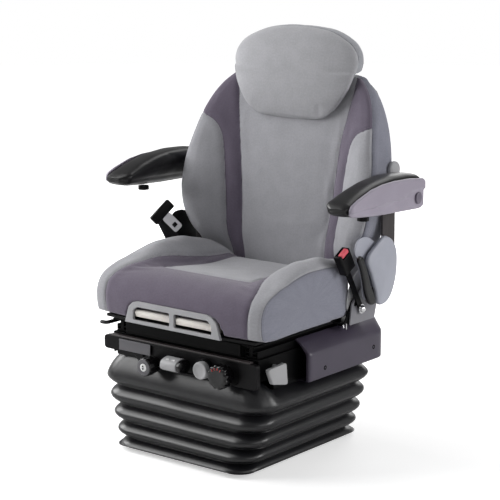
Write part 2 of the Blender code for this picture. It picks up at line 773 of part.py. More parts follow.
def build_panel():
    """Control panel with a shallow pocket and a collar round the push button, and its edge strip."""
    low = PANEL_TOP - PANEL_H
    left_low = PANEL_TOP - PANEL_LEFT_H
    outline = rounded([(PANEL_LEFT_X, low), (PANEL_HALF_W, low), (PANEL_HALF_W, PANEL_TOP),
                       (-PANEL_HALF_W, PANEL_TOP), (-PANEL_HALF_W, left_low),
                       (PANEL_LEFT_X - PANEL_SLOPE, left_low)], 0.010)
    made = plate("control_panel", [outline], PANEL_FRONT, PANEL_BACK, "XZ", "black_plastic")
    ledge = box("panel_ledge", (-PANEL_LEDGE_HALF_W, PANEL_BACK - PANEL_T / 2, BOOT_FRONT_Z + RUN_GAP),
                (PANEL_LEDGE_HALF_W, -FRAME_HALF_L - SEAT_GAP, PANEL_TOP), "black_plastic")
    join(made, [ledge])
    side, edge = PANEL_POCKET_SIDE, PANEL_POCKET_EDGE
    pocket = rounded([(RIDE_KNOB_X - side, low + edge), (DAMPER_X + side, low + edge),
                      (DAMPER_X + side, PANEL_TOP - edge), (RIDE_KNOB_X - side, PANEL_TOP - edge)], 0.012)
    hollow = plate("panel_pocket", [pocket], PANEL_FRONT - 0.01, PANEL_FRONT + PANEL_POCKET, "XZ",
                   "black_plastic")
    wells = [hollow]
    for name, x, z, radius in (("ride_knob_well", RIDE_KNOB_X, panel_point(KNOB_DROP), RIDE_KNOB_R),
                               ("button_well", BUTTON_X, panel_point(BUTTON_DROP), BUTTON_R),
                               ("damper_well", DAMPER_X, panel_point(DAMPER_DROP), DAMPER_R)):
        wells.append(plate(name, [circle((x, z), radius + WELL_GAP, 32)], PANEL_FRONT - 0.01,
                           PANEL_FRONT + PANEL_POCKET, "XZ", "black_plastic"))
    cut(made, wells)
    z = panel_point(BUTTON_DROP)
    floor = PANEL_FRONT + PANEL_POCKET
    collar = plate("button_collar", [circle((BUTTON_X, z), BUTTON_R + RUN_GAP + COLLAR_WALL, 24),
                                     circle((BUTTON_X, z), BUTTON_R + RUN_GAP, 24)],
                   floor - 0.012, floor + 0.002, "XZ", "black_plastic")
    join(made, [collar])
    strip_low = PANEL_TOP + SEAT_GAP
    strip = box("edge_strip", (-PANEL_HALF_W + 0.02, PANEL_FRONT, strip_low),
                (PANEL_HALF_W - 0.02, PANEL_FRONT + PANEL_T, strip_low + STRIP_H), "bright_steel", 0.0006)
    return made, strip


def build_ride_knob():
    """Large ride-height knob with a light centre cap."""
    seat = PANEL_FRONT + PANEL_POCKET - SEAT_GAP
    centre = (RIDE_KNOB_X, seat, panel_point(KNOB_DROP))
    r, length = RIDE_KNOB_R, RIDE_KNOB_LEN
    profile = [(0.0, length), (r * 0.80, length), (r, length - 0.005), (r, length * 0.45),
               (r * 0.88, length * 0.40), (r * 0.88, length * 0.12), (r * 0.60, length * 0.08),
               (r * 0.60, 0.0), (0.0, 0.0)]
    knob = turned("ride_knob", profile, centre, (0, -1, 0), "black_plastic")
    cap_r = r * 0.42
    top = length + SEAT_GAP
    cap = turned("ride_knob_cap", [(0.0, top + 0.002), (cap_r * 0.8, top + 0.002), (cap_r, top + 0.0008),
                                   (cap_r, top), (0.0, top)], centre, (0, -1, 0), "cap_white", 16)
    return knob, cap, centre


def build_rocker():
    """Rocker paddle on a cross pin in front of the panel."""
    seat = PANEL_FRONT + PANEL_POCKET - SEAT_GAP
    z = panel_point(ROCKER_DROP)
    half = ROCKER_H / 2
    pivot_y = seat - half
    outline = (arc((pivot_y, z), half, -40, 40, 5)
               + [(pivot_y - ROCKER_LEN * 0.35, z + half), (pivot_y - ROCKER_LEN * 0.8, z + half * 0.55),
                  (pivot_y - ROCKER_LEN * 0.85, z - half * 0.6), (pivot_y - ROCKER_LEN * 0.3, z - half)])
    paddle = plate("height_rocker", [outline], ROCKER_X - ROCKER_W / 2, ROCKER_X + ROCKER_W / 2, "YZ",
                   "grey_plastic", 0.002)
    return paddle, (ROCKER_X, pivot_y, z)


def build_button():
    """Push button in its collar."""
    seat = PANEL_FRONT + PANEL_POCKET - BUTTON_TRAVEL - SEAT_GAP
    centre = (BUTTON_X, seat, panel_point(BUTTON_DROP))
    r, length = BUTTON_R, BUTTON_LEN
    profile = [(0.0, length + 0.0015), (r * 0.6, length + 0.001), (r - 0.002, length),
               (r, length - 0.002), (r, 0.0), (0.0, 0.0)]
    return turned("vent_button", profile, centre, (0, -1, 0), "grey_plastic", 24), centre


def build_damper_knob():
    """Ribbed damper knob."""
    seat = PANEL_FRONT + PANEL_POCKET - SEAT_GAP
    x, z = DAMPER_X, panel_point(DAMPER_DROP)
    outline = []
    for rib in range(DAMPER_RIBS):
        start = 360.0 * rib / DAMPER_RIBS
        width = 360.0 / DAMPER_RIBS
        outline += arc((x, z), DAMPER_R, start, start + width * 0.55, 3)
        outline += arc((x, z), DAMPER_R * 0.92, start + width * 0.68, start + width * 0.87, 2)
    grip = plate("damper_knob", [outline], seat - DAMPER_LEN, seat - DAMPER_LEN * 0.35, "XZ",
                 "black_plastic")
    neck = cylinder("damper_neck", (x, seat - DAMPER_LEN * 0.4, z), (x, seat, z), DAMPER_R * 0.72,
                    "black_plastic", 20)
    return join(grip, [neck]), (x, seat, z)


def build_tab():
    """Isolator lever: a flat grey tab on a pin at the side of the upper frame."""
    inner = FRAME_HALF_W + TAB_STANDOFF
    pivot = (-0.150, PANEL_TOP - 0.019)
    y, z = pivot
    outline = rounded([(y - 0.052, z + 0.006), (y + 0.016, z + 0.010), (y + 0.022, z - 0.044),
                       (y - 0.034, z - 0.032)], 0.006, 3)
    tab = plate("isolator_tab", [outline], inner, inner + TAB_T, "YZ", "grey_plastic", 0.0015)
    pin = cylinder("isolator_pin", (FRAME_HALF_W + SEAT_GAP, y, z), (inner + TAB_T / 2, y, z), 0.006,
                   "grey_plastic", 12)
    return join(bake(tab), [pin]), (inner, y, z)


def cover_profile(inset):
    """Side cover section at the +X side, from its lower inner edge over the ridge to its top edge."""
    inner = FRAME_HALF_W + SEAT_GAP
    outer = max(COVER_HALF_W - inset, inner + 0.008)
    top_x = RAIL_X + RAIL_HALF_W + 0.0015
    low = FRAME_SKIRT_Z + 0.002
    ridge = low + COVER_RIDGE
    ridge_x = min(outer, COVER_HALF_W)
    return [(inner, low), (outer - 0.004, low), (ridge_x, low + 0.004), (ridge_x, ridge - 0.004),
            (ridge_x - 0.004, ridge + 0.001), ((ridge_x + top_x) / 2, (ridge + low + COVER_RISE) / 2 + 0.001),
            (top_x, low + COVER_RISE)]


def build_side_cover():
    """Moulded side cover: sections along Y, closed in front and rounded behind, thickened inwards."""
    stations = [(COVER_FRONT_Y, COVER_OUT), (COVER_FRONT_Y + 0.001, 0.008), (COVER_FRONT_Y + 0.006, 0.0015),
                (COVER_FRONT_Y + 0.016, 0.0), (COVER_REAR_Y - COVER_ROUND, 0.0)]
    for angle in np.radians((22, 45, 65, 80, 90)):
        stations.append((COVER_REAR_Y - COVER_ROUND * (1 - math.sin(angle)),
                         COVER_ROUND * (1 - math.cos(angle))))
    shape = bmesh.new()
    rows = [[shape.verts.new((x, y, z)) for x, z in cover_profile(inset)] for y, inset in stations]
    for row, following in zip(rows, rows[1:]):
        for index in range(len(row) - 1):
            shape.faces.new((row[index], following[index], following[index + 1], row[index + 1]))
    made = from_bmesh("side_cover_left", shape, "dark_cover", smooth=True)
    wall = made.modifiers.new("wall", "SOLIDIFY")
    wall.thickness = COVER_WALL
    wall.offset = 0.0
    return bake(made)


def build_lower_rail(name, x):
    """Lower slide rail: a lipped channel."""
    z, t, w = RAIL_Z, RAIL_T, RAIL_HALF_W
    half = [(0.0, z), (w, z), (w, z + RAIL_H), (RAIL_LIP, z + RAIL_H), (RAIL_LIP, z + RAIL_H - t),
            (w - t, z + RAIL_H - t), (w - t, z + t), (0.0, z + t)]
    outline = [(x + u, v) for u, v in both_sides(half)]
    return plate(name, [outline], -LOWER_RAIL_HALF_L, LOWER_RAIL_HALF_L, "XZ", "black_steel")


def build_upper_rail(name, x):
    """Upper slide rail: a runner whose foot is held under the lips of the lower rail."""
    z = RAIL_Z + RAIL_T + SEAT_GAP
    top = RAIL_Z + UPPER_RAIL_H
    stem, foot, flange = UPPER_STEM_HALF, UPPER_FOOT_HALF, UPPER_FLANGE_HALF
    foot_top = RAIL_Z + RAIL_H - RAIL_T - RUN_GAP
    half = [(0.0, z), (foot, z), (foot, z + 0.004), (stem, z + 0.004), (stem, foot_top - 0.003),
            (foot, foot_top - 0.003), (foot, foot_top), (stem, foot_top), (stem, top - 0.003),
            (flange, top - 0.003), (flange, top), (0.0, top)]
    outline = [(x + u, v) for u, v in both_sides(half)]
    return plate(name, [outline], UPPER_RAIL_FRONT, UPPER_RAIL_REAR, "XZ", "zinc_steel")


def build_carriage():
    """Carriage plate on the upper rails, with wings to the side plates and a front lip."""
    wing = SIDE_PLATE_X - SEAT_GAP
    half = [(0.0, CARRIAGE_FRONT), (CARRIAGE_HALF_W, CARRIAGE_FRONT), (CARRIAGE_HALF_W, CARRIAGE_WING_Y),
            (wing, CARRIAGE_WING_Y + 0.012), (wing, CARRIAGE_REAR), (0.0, CARRIAGE_REAR)]
    holes = []
    for x in (-0.110, 0.0, 0.110):
        for y in (-0.105, 0.045):
            holes.append(rounded([(x - 0.042, y - 0.060), (x + 0.042, y - 0.060), (x + 0.042, y + 0.060),
                                  (x - 0.042, y + 0.060)], 0.015, 3))
    made = plate("carriage_plate", [both_sides(half)], CARRIAGE_Z, CARRIAGE_TOP, "XY", "black_steel")
    lip_low = FRAME_TOP + 0.003
    lip = box("carriage_lip", (-LIP_HALF_W, CARRIAGE_FRONT - LIP_T + 0.001, lip_low),
              (LIP_HALF_W, CARRIAGE_FRONT + 0.001, CARRIAGE_Z + CARRIAGE_T / 2), "black_steel")
    join(made, [lip])
    return pierce(made, holes, CARRIAGE_Z - CARRIAGE_T, CARRIAGE_TOP + CARRIAGE_T, "XY")


def build_release_lever():
    """Slide release lever: a bent bar under the front of the carriage with its end at the right side."""
    z = CARRIAGE_Z - RELEASE_ROD_R - SEAT_GAP
    x = -RAIL_X - RAIL_HALF_W - RELEASE_ROD_R - 0.0005
    front = CARRIAGE_FRONT - LIP_T - 0.012
    points = [(x, front + 0.085, z), (x, front + 0.014, z), (x - 0.003, front + 0.004, z - 0.001),
              (x - 0.010, front, z - 0.002), (x - 0.024, front, z - 0.002)]
    rod = tube("release_lever", points, RELEASE_ROD_R, "black_plastic")
    return rod, (x, front + 0.080, z)


def build_side_plate():
    """Recliner side plate on the carriage, with the holes of the tilt pin and the recline pin."""
    foot = CARRIAGE_Z - 0.0005
    head = arc((RECLINE_Y, RECLINE_Z), SIDE_HEAD_R, -20, 170, 9)
    outline = ([(CARRIAGE_WING_Y + 0.006, foot), (CARRIAGE_REAR, foot)] + head
               + [(TILT_Y + 0.004, TILT_Z + 0.018), (TILT_Y - 0.014, TILT_Z + 0.004)])
    holes = [circle((RECLINE_Y, RECLINE_Z), RECLINE_PIN_R + SEAT_GAP, 16),
             circle((TILT_Y, TILT_Z), TILT_PIN_R + SEAT_GAP, 12)]
    return plate("side_plate_left", [outline] + holes, SIDE_PLATE_X, SIDE_PLATE_X + SIDE_PLATE_T, "YZ",
                 "black_steel")


def build_tilt_pan():
    """Tilt pan: a plate with two upright ears whose pins turn in the side plates."""
    ear_out = SIDE_PLATE_X - RUN_GAP
    ear_in = ear_out - EAR_T
    front, rear = CUSHION_FRONT + 0.050, TILT_Y + 0.008
    tab = [(ear_out, TILT_Y - 0.040), (ear_out, rear)]
    half = [(0.0, front), (PAN_HALF_W, front), (PAN_HALF_W, TILT_Y - 0.050)] + tab + [(0.0, rear)]
    holes = []
    for x in (-0.115, 0.0, 0.115):
        holes.append(rounded([(x - 0.045, front + 0.070), (x + 0.045, front + 0.070),
                              (x + 0.045, front + 0.210), (x - 0.045, front + 0.210)], 0.015, 3))
    made = plate("tilt_pan", [both_sides(half)], PAN_Z, PAN_Z + PAN_T, "XY", "black_steel")
    outline = ([(TILT_Y - 0.038, PAN_Z + 0.0005), (rear, PAN_Z + 0.0005)]
               + arc((TILT_Y, TILT_Z), 0.012, -10, 170, 6))
    pieces = []
    for side in (1, -1):
        low, high = sorted((side * ear_in, side * ear_out))
        pieces.append(plate("tilt_ear", [outline], low, high, "YZ", "black_steel"))
        pieces.append(cylinder("tilt_pin", (side * (ear_in + 0.001), TILT_Y, TILT_Z),
                               (side * (SIDE_PLATE_X + SIDE_PLATE_T), TILT_Y, TILT_Z), TILT_PIN_R,
                               "black_steel", 12))
    join(made, pieces)
    return pierce(made, holes, PAN_Z - PAN_T, PAN_Z + 2 * PAN_T, "XY")


def build_board():
    """Board under the cushion."""
    half = [(0.0, TRIM_FRONT + TRIM_T + SEAT_GAP), (CUSHION_HALF_W - 0.020, TRIM_FRONT + TRIM_T + 0.018),
            (CUSHION_HALF_W - 0.014, CUSHION_SIDE_REAR - 0.010), (0.150, CUSHION_REAR - 0.010),
            (0.0, CUSHION_REAR - 0.010)]
    return plate("cushion_board", [both_sides(half)], BOARD_Z, BOARD_Z + BOARD_T, "XY", "black_plastic")


def bolster_share(x, y):
    """Height added at x, y by the raised side bolster of the cushion."""
    rise = smooth_step((abs(x) - BOLSTER_START) / (BOLSTER_CREST_X - BOLSTER_START)) * CUSHION_CREST
    over = np.clip((abs(x) - BOLSTER_CREST_X) / (CUSHION_HALF_W - BOLSTER_CREST_X), 0.0, 1.0)
    rise -= (CUSHION_CREST - CUSHION_EDGE) * over ** 2
    length = smooth_step((y - CUSHION_FRONT - 0.030) / 0.190)
    fall = 1.0 - BOLSTER_REAR_FALL * smooth_step((y - CUSHION_SIDE_REAR + 0.080) / 0.080)
    return rise * float(length * fall)


def cushion_ring(x):
    """Outline of the cushion in the YZ plane at one x, from the lower front round to the lower rear."""
    share = abs(x) / CUSHION_HALF_W
    front = CUSHION_FRONT + 0.020 * share ** 4
    hold = float(smooth_step((abs(x) - 0.150) / (CUSHION_HALF_W - 0.150)))
    rear = CUSHION_REAR + (CUSHION_SIDE_REAR - CUSHION_REAR) * hold
    low, height = CUSHION_Z + 0.0015, CUSHION_CENTRE_H
    nose = [(0.012, 0.004), (0.003, 0.016), (0.000, 0.045), (0.003, 0.066), (0.014, 0.086),
            (0.034, 0.100), (0.070, 0.108)]
    points = [(front + back, low + up * height / CUSHION_CENTRE_H) for back, up in nose]
    for step in (0.36, 0.52, 0.68, 0.82, 0.92):
        y = front + (rear - front) * step
        points.append((y, low + height - 0.009 * step))
    points = [(y, z + bolster_share(x, y)) for y, z in points]
    top = points[-1][1]
    drop = top - low
    points += [(rear - 0.010, top - 0.007), (rear - 0.001, top - 0.022), (rear, low + drop * 0.45),
               (rear, low + 0.012), (rear - 0.008, low)]
    return [(x, y, z) for y, z in points]


def build_cushion():
    """Cushion lofted across the seat, cut away in front for the trim and its handles."""
    inner = (0.0, 0.060, 0.110, 0.140, 0.170, 0.192, 0.210, 0.230, 0.243)
    stations = sorted({side * x * CUSHION_HALF_W / 0.250 for x in inner for side in (-1, 1)})
    rings = [cushion_ring(x) for x in stations]
    middle = np.array(rings[0]).mean(axis=0)

    def end(ring, x, shrink):
        """Ring pulled a little towards its middle, for the rounded side edge."""
        return [(x, middle[1] + (y - middle[1]) * shrink, middle[2] + (z - middle[2]) * shrink)
                for _, y, z in ring]

    rings = [end(rings[0], -CUSHION_HALF_W, 0.965)] + rings + [end(rings[-1], CUSHION_HALF_W, 0.965)]
    made = loft("cushion", rings, "grey_fabric")
    gap = 0.0008
    recess = trim_outline(gap)
    cutter = plate("trim_recess", [recess], TRIM_FRONT - 0.05, TRIM_FRONT + HANDLE_PIVOT_BACK + 0.020, "XZ",
                   "black_plastic")
    return cut(made, [cutter])


def trim_outline(grow=0.0):
    """Arched outline of the front trim, grown by a clearance."""
    low, high = TRIM_Z - grow, TRIM_Z + TRIM_H + grow
    wide, narrow = TRIM_HALF_W + grow, TRIM_TOP_HALF_W + grow
    shoulder = high - 0.018
    return both_sides([(0.0, high), (narrow, high), ((narrow * 0.62 + wide * 0.38), high - 0.004),
                       ((narrow * 0.30 + wide * 0.70), shoulder + 0.002), (wide, low)])


def window_box(side):
    """Low and high corners (x, z) of one finger opening of the trim."""
    low = TRIM_Z + TRIM_WINDOW_LIFT
    inner, outer = TRIM_POST_HALF, TRIM_WINDOW_OUT
    x_low, x_high = sorted((side * inner, side * outer))
    return (x_low, low), (x_high, low + TRIM_WINDOW_H)


def build_trim():
    """Arched front trim with two finger openings."""
    windows = []
    for side in (1, -1):
        (x0, z0), (x1, z1) = window_box(side)
        outer_top = (x1 - 0.012, z1) if side > 0 else (x0 + 0.012, z1)
        corners = [(x0, z0), (x1, z0)]
        corners += [(x1, z1 - 0.010), outer_top, (x0, z1)] if side > 0 else [(x1, z1), outer_top,
                                                                            (x0, z1 - 0.010)]
        windows.append(rounded(corners, 0.004, 2))
    return plate("front_trim", [trim_outline()] + windows, TRIM_FRONT, TRIM_FRONT + TRIM_T, "XZ",
                 "grey_plastic")


def build_handle(name, side):
    """Pull handle behind one finger opening, on a cross pin at its rear."""
    (x0, _), (x1, z1) = window_box(side)
    y_front = TRIM_FRONT + 0.004
    high = z1 - HANDLE_DROP
    low = high - HANDLE_H
    pivot = (TRIM_FRONT + HANDLE_PIVOT_BACK, BOARD_Z + BOARD_T + SEAT_GAP + HANDLE_HUB_R)
    outline = ([(y_front + 0.002, low), (y_front + HANDLE_LEN * 0.8, low + 0.001)]
               + arc(pivot, HANDLE_HUB_R, 225, 405, 7)
               + [(y_front + HANDLE_LEN, high - 0.003), (y_front + 0.004, high - 0.002), (y_front, high - 0.007)])
    bar = plate(name, [outline], x0 + HANDLE_SIDE_GAP, x1 - HANDLE_SIDE_GAP, "YZ", "handle_white", 0.0012)
    return bar, (0.5 * (x0 + x1), *pivot)


def back_rear(z):
    """Rear surface of the backrest pad at one height."""
    return BACK_REAR_Y + (z - 0.450) * math.tan(BACK_TILT)


def back_half_width(z):
    """Half width of the backrest: tapered below, widest at the ribs, rounded at the shoulders."""
    lower = BACK_BOTTOM_HALF_W + (BACK_HALF_W - BACK_BOTTOM_HALF_W) * float(
        smooth_step((z - BACK_BOTTOM) / 0.150))
    u = np.clip((z - BACK_SHOULDER) / (BACK_APEX - BACK_SHOULDER), 0.0, 1.0)
    return lower * float((1.0 - u * u) ** 0.265)


def back_centre(z):
    """Front surface of the backrest's middle panel."""
    return through(z, ((0.438, 0.183), (0.480, 0.178), (0.560, 0.192), (0.640, 0.200), (0.740, 0.205),
                       (0.820, 0.222), (0.900, 0.246)))


def back_edge(z):
    """Front surface of the backrest where the side gusset is sewn on."""
    return through(z, ((0.438, 0.172), (0.470, 0.140), (0.520, 0.122), (0.600, 0.124), (0.680, 0.144),
                       (0.740, 0.162), (0.790, 0.181), (0.850, 0.212), (0.900, 0.246)))


def back_front(x, z, half_w):
    """Front surface of the backrest at x and z."""
    start = 0.128 + 0.10 * (z - 0.450)
    rise = float(smooth_step((abs(x) - start * 0.9) / (half_w * 0.93 - start * 0.9)))
    return back_centre(z) + (back_edge(z) - back_centre(z)) * rise


def back_ring(z, shrink=1.0):
    """Outline of the backrest pad at one height."""
    half_w = back_half_width(z) * shrink
    rear = back_rear(z)
    front = [(x * half_w, back_front(x * half_w, z, half_w)) for x in
             (0.0, 0.22, 0.42, 0.54, 0.66, 0.78, 0.88, 0.945)]
    edge = back_edge(z)
    depth = rear - edge
    side = [(half_w * 0.985, edge + min(0.014, depth * 0.2)), (half_w, edge + depth * 0.40),
            (half_w * 0.995, rear - depth * 0.12), (half_w * 0.96, rear), (half_w * 0.5, rear)]
    half = front + side + [(0.0, rear)]
    return [(x, y, z) for x, y in both_sides(half)]


def build_backrest():
    """Backrest pad lofted upwards, with rounded lower and upper edges."""
    heights = [BACK_BOTTOM, BACK_BOTTOM + 0.008, BACK_BOTTOM + 0.028]
    heights += [0.500, 0.540, 0.585, 0.630, 0.675, 0.715, 0.750, 0.785, 0.815, 0.840, 0.862, 0.880]
    heights += [BACK_TOP - 0.008, BACK_TOP]
    shrinks = {BACK_BOTTOM: 0.965, BACK_TOP: 0.93, BACK_TOP - 0.008: 0.985}
    rings = [back_ring(z, shrinks.get(z, 1.0)) for z in heights]
    return loft("backrest", rings, "grey_fabric")


def build_back_frame():
    """Tube frame behind the pad: two uprights and three cross tubes, the middle one to the brackets."""
    def rear(z):
        return back_rear(z) + FRAME_TUBE_GAP + FRAME_TUBE_R

    reach = ARM_PLATE_X - SEAT_GAP
    made = cylinder("back_frame", (-reach, rear(FRAME_MID_Z), FRAME_MID_Z), (reach, rear(FRAME_MID_Z),
                    FRAME_MID_Z), FRAME_TUBE_R, "black_steel", 12)
    pieces = []
    for side in (1, -1):
        x = side * FRAME_TUBE_X
        pieces.append(cylinder("back_upright", (x, rear(FRAME_LOW_Z), FRAME_LOW_Z),
                               (x, rear(FRAME_HIGH_Z), FRAME_HIGH_Z), FRAME_TUBE_R * 1.05, "black_steel", 12))
    for z in (FRAME_LOW_Z + 0.010, FRAME_HIGH_Z - 0.010):
        pieces.append(cylinder("back_cross", (-FRAME_TUBE_X, rear(z), z), (FRAME_TUBE_X, rear(z), z),
                               FRAME_TUBE_R, "black_steel", 12))
    return join(made, pieces)


def build_back_shell():
    """Back shell: a shallow dished cover behind the frame, thickened, notched for the cross tube."""
    low, high = BACK_BOTTOM + 0.010, 0.872
    heights = [low, low + 0.020, 0.500, 0.560, 0.620, 0.680, 0.740, 0.790, 0.830, high - 0.018, high]
    shape = bmesh.new()
    rows = []
    for z in heights:
        half_w = back_half_width(z) - SHELL_INSET
        at_end = z in (heights[0], heights[-1])
        row = []
        for share in (-1.0, -0.96, -0.85, -0.5, 0.0, 0.5, 0.85, 0.96, 1.0):
            rim = at_end or abs(share) == 1.0
            y = back_rear(z) + (0.0025 if rim else SHELL_DEPTH)
            row.append(shape.verts.new((share * half_w, y, z)))
        rows.append(row)
    for row, following in zip(rows, rows[1:]):
        for index in range(len(row) - 1):
            shape.faces.new((row[index], following[index], following[index + 1], row[index + 1]))
    mesh = bpy.data.meshes.new("back_shell")
    bmesh.ops.recalc_face_normals(shape, faces=shape.faces)
    shape.faces.ensure_lookup_table()
    middle = max(shape.faces, key=lambda face: face.calc_area())
    if middle.normal.y < 0:
        bmesh.ops.reverse_faces(shape, faces=shape.faces)
    shape.to_mesh(mesh)
    shape.free()
    made = new_object("back_shell", mesh, "black_plastic", smooth=True)
    wall = made.modifiers.new("wall", "SOLIDIFY")
    wall.thickness = SHELL_T
    wall.offset = 1.0
    bake(made)
    y = back_rear(FRAME_MID_Z) + FRAME_TUBE_GAP + FRAME_TUBE_R
    notch = cylinder("shell_notch", (-0.32, y, FRAME_MID_Z), (0.32, y, FRAME_MID_Z),
                     FRAME_TUBE_R + RUN_GAP, "black_plastic", 12)
    slot = rear_slab("shell_slot", HEAD_PLATE_HALF_W + RUN_GAP, -RUN_GAP, HEAD_PLATE_T + 2 * RUN_GAP,
                     high - 0.030, high + 0.030)
    return cut(made, [notch, slot])


def lever_pivot():
    """Place (y, z) of the recline lever's pin, below and in front of the recline pin."""
    return RECLINE_Y - LEVER_FORWARD, RECLINE_Z - LEVER_DROP


def build_arm_bracket():
    """Side bracket of the backrest: recline pin below, armrest pin above, lug to the cross tube."""
    tube_y = back_rear(FRAME_MID_Z) + FRAME_TUBE_GAP + FRAME_TUBE_R
    outline = (arc((RECLINE_Y, RECLINE_Z), 0.032, 180, 350, 9)
               + [(RECLINE_Y + 0.036, RECLINE_Z + 0.045), (REST_PIVOT_Y + 0.026, REST_PIVOT_Z - 0.050),
                  (tube_y + 0.010, REST_PIVOT_Z - 0.012), (tube_y + 0.010, REST_PIVOT_Z + 0.014)]
               + arc((REST_PIVOT_Y, REST_PIVOT_Z), 0.024, 60, 190, 7)
               + [(REST_PIVOT_Y - 0.026, REST_PIVOT_Z - 0.050), (RECLINE_Y - 0.016, RECLINE_Z + 0.060)])
    made = plate("arm_bracket_left", [outline], ARM_PLATE_X, ARM_PLATE_X + ARM_PLATE_T, "YZ", "black_steel")
    lug = plate("lever_lug", [stadium(lever_pivot(), (RECLINE_Y - 0.010, RECLINE_Z - 0.010), LEVER_LUG_R)],
                ARM_PLATE_X, ARM_PLATE_X + ARM_PLATE_T, "YZ", "black_steel")
    join(made, [lug])
    pierce(made, [circle(lever_pivot(), LEVER_PIN_R + SEAT_GAP, 12)], ARM_PLATE_X - 0.01, ARM_PLATE_X + 0.02, "YZ")
    pin = cylinder("recline_pin", (SIDE_PLATE_X, RECLINE_Y, RECLINE_Z),
                   (ARM_PLATE_X + ARM_PLATE_T / 2, RECLINE_Y, RECLINE_Z), RECLINE_PIN_R, "black_steel", 16)
    rest_pin = cylinder("rest_pin", (ARM_PLATE_X + ARM_PLATE_T / 2, REST_PIVOT_Y, REST_PIVOT_Z),
                        (ARM_PLATE_X + ARM_PLATE_T + REST_PIN_LEN, REST_PIVOT_Y, REST_PIVOT_Z), REST_PIN_R,
                        "black_steel", 16)
    return join(made, [pin, rest_pin])


def build_hinge_cover():
    """Kidney-shaped hinge cover, domed outwards."""
    y, z = RECLINE_Y - 0.012, RECLINE_Z + 0.008
    corners = [(y - 0.072, z + 0.040), (y - 0.052, z + 0.070), (y - 0.006, z + 0.090), (y + 0.034, z + 0.066),
               (y + 0.046, z + 0.030), (y + 0.040, z - 0.020), (y + 0.020, z - 0.064), (y - 0.014, z - 0.080),
               (y - 0.036, z - 0.064), (y - 0.050, z - 0.020)]
    outline = rounded(corners, 0.030, 2)
    start = ARM_PLATE_X + ARM_PLATE_T + SEAT_GAP
    middle = np.array(outline).mean(axis=0)
    rings = []
    for depth, shrink in ((0.0, 1.0), (0.55, 0.985), (0.85, 0.93), (1.0, 0.80)):
        rings.append([(start + depth * HINGE_COVER_T, middle[0] + (u - middle[0]) * shrink,
                       middle[1] + (v - middle[1]) * shrink) for u, v in outline])
    return loft("hinge_cover_left", rings, "grey_plastic")


def build_recline_lever():
    """Recline lever: a curved grip along the front edge of the hinge cover."""
    y, z = lever_pivot()
    points = [(y - 0.016, z - 0.002), (y - 0.006, z - 0.012), (y + 0.010, z - 0.012), (y + 0.008, z + 0.004),
              (y - 0.006, z + 0.034), (y - 0.020, z + 0.066), (y - 0.032, z + 0.098), (y - 0.046, z + 0.112),
              (y - 0.061, z + 0.104), (y - 0.046, z + 0.060), (y - 0.030, z + 0.022)]
    start = ARM_PLATE_X + ARM_PLATE_T + SEAT_GAP
    lever = plate("recline_lever", [rounded(points, 0.010, 2)], start, start + LEVER_T, "YZ", "black_plastic",
                  0.002)
    pin = cylinder("lever_pin", (ARM_PLATE_X, y, z), (start + LEVER_T / 2, y, z), LEVER_PIN_R, "black_plastic",
                   12)
    return join(bake(lever), [pin]), (start, y, z)


def build_lumbar_knob():
    """Round lumbar knob at the left side of the backrest."""
    start = back_half_width(LUMBAR_Z) + SEAT_GAP
    r, t = LUMBAR_R, LUMBAR_T
    profile = [(0.0, t), (r * 0.7, t), (r * 0.95, t * 0.75), (r, t * 0.4), (r * 0.92, 0.0), (0.0, 0.0)]
    centre = (start, LUMBAR_Y, LUMBAR_Z)
    return turned("lumbar_knob", profile, centre, (1, 0, 0), "grey_plastic", 20), centre


def rest_top(y):
    """Height of the armrest's top line at y."""
    return through(y, ((-0.070, 0.640), (-0.050, 0.650), (0.000, 0.666), (0.060, 0.681), (0.130, 0.686),
                       (0.200, 0.682), (0.247, 0.674)))


def build_rest_pad():
    """Armrest pad: sections along Y that swell from the tip, bored for the pivot pin."""
    inner = REST_X - REST_HALF_W
    outer = REST_X + REST_HALF_W - REST_SHELL_T - SEAT_GAP
    low = REST_BOTTOM_Z + REST_FLOOR_T + SEAT_GAP
    rings = []
    stations = ((0.0, 0.55), (0.012, 0.86), (0.035, 0.97), (0.085, 1.0), (0.150, 1.0), (0.220, 1.0),
                (0.285, 1.0), (REST_REAR_Y - REST_TIP_Y - 0.008, 0.97), (REST_REAR_Y - REST_TIP_Y, 0.80))
    for along, share in stations:
        y = REST_TIP_Y + along
        top = rest_top(y)
        bottom = low + (top - low) * (0.35 if along == 0.0 else 0.0)
        high = bottom + (top - bottom) * share
        centre_x = (inner + outer) / 2
        half = (outer - inner) / 2 * (0.80 + 0.20 * share)
        rings.append([(centre_x + u * half, y, bottom + v * (high - bottom)) for u, v in
                      ((-0.86, 0.0), (0.86, 0.0), (1.0, 0.12), (1.0, 0.62), (0.90, 0.86), (0.60, 0.98),
                       (0.0, 1.0), (-0.60, 0.98), (-0.90, 0.86), (-1.0, 0.62), (-1.0, 0.12))])
    made = loft("armrest_pad_left", rings, "pad_black")
    bore = cylinder("rest_bore", (inner - 0.01, REST_PIVOT_Y, REST_PIVOT_Z),
                    (ARM_PLATE_X + ARM_PLATE_T + REST_PIN_LEN + 0.001, REST_PIVOT_Y, REST_PIVOT_Z),
                    REST_PIN_R + SEAT_GAP, "pad_black", 16)
    return cut(made, [bore])


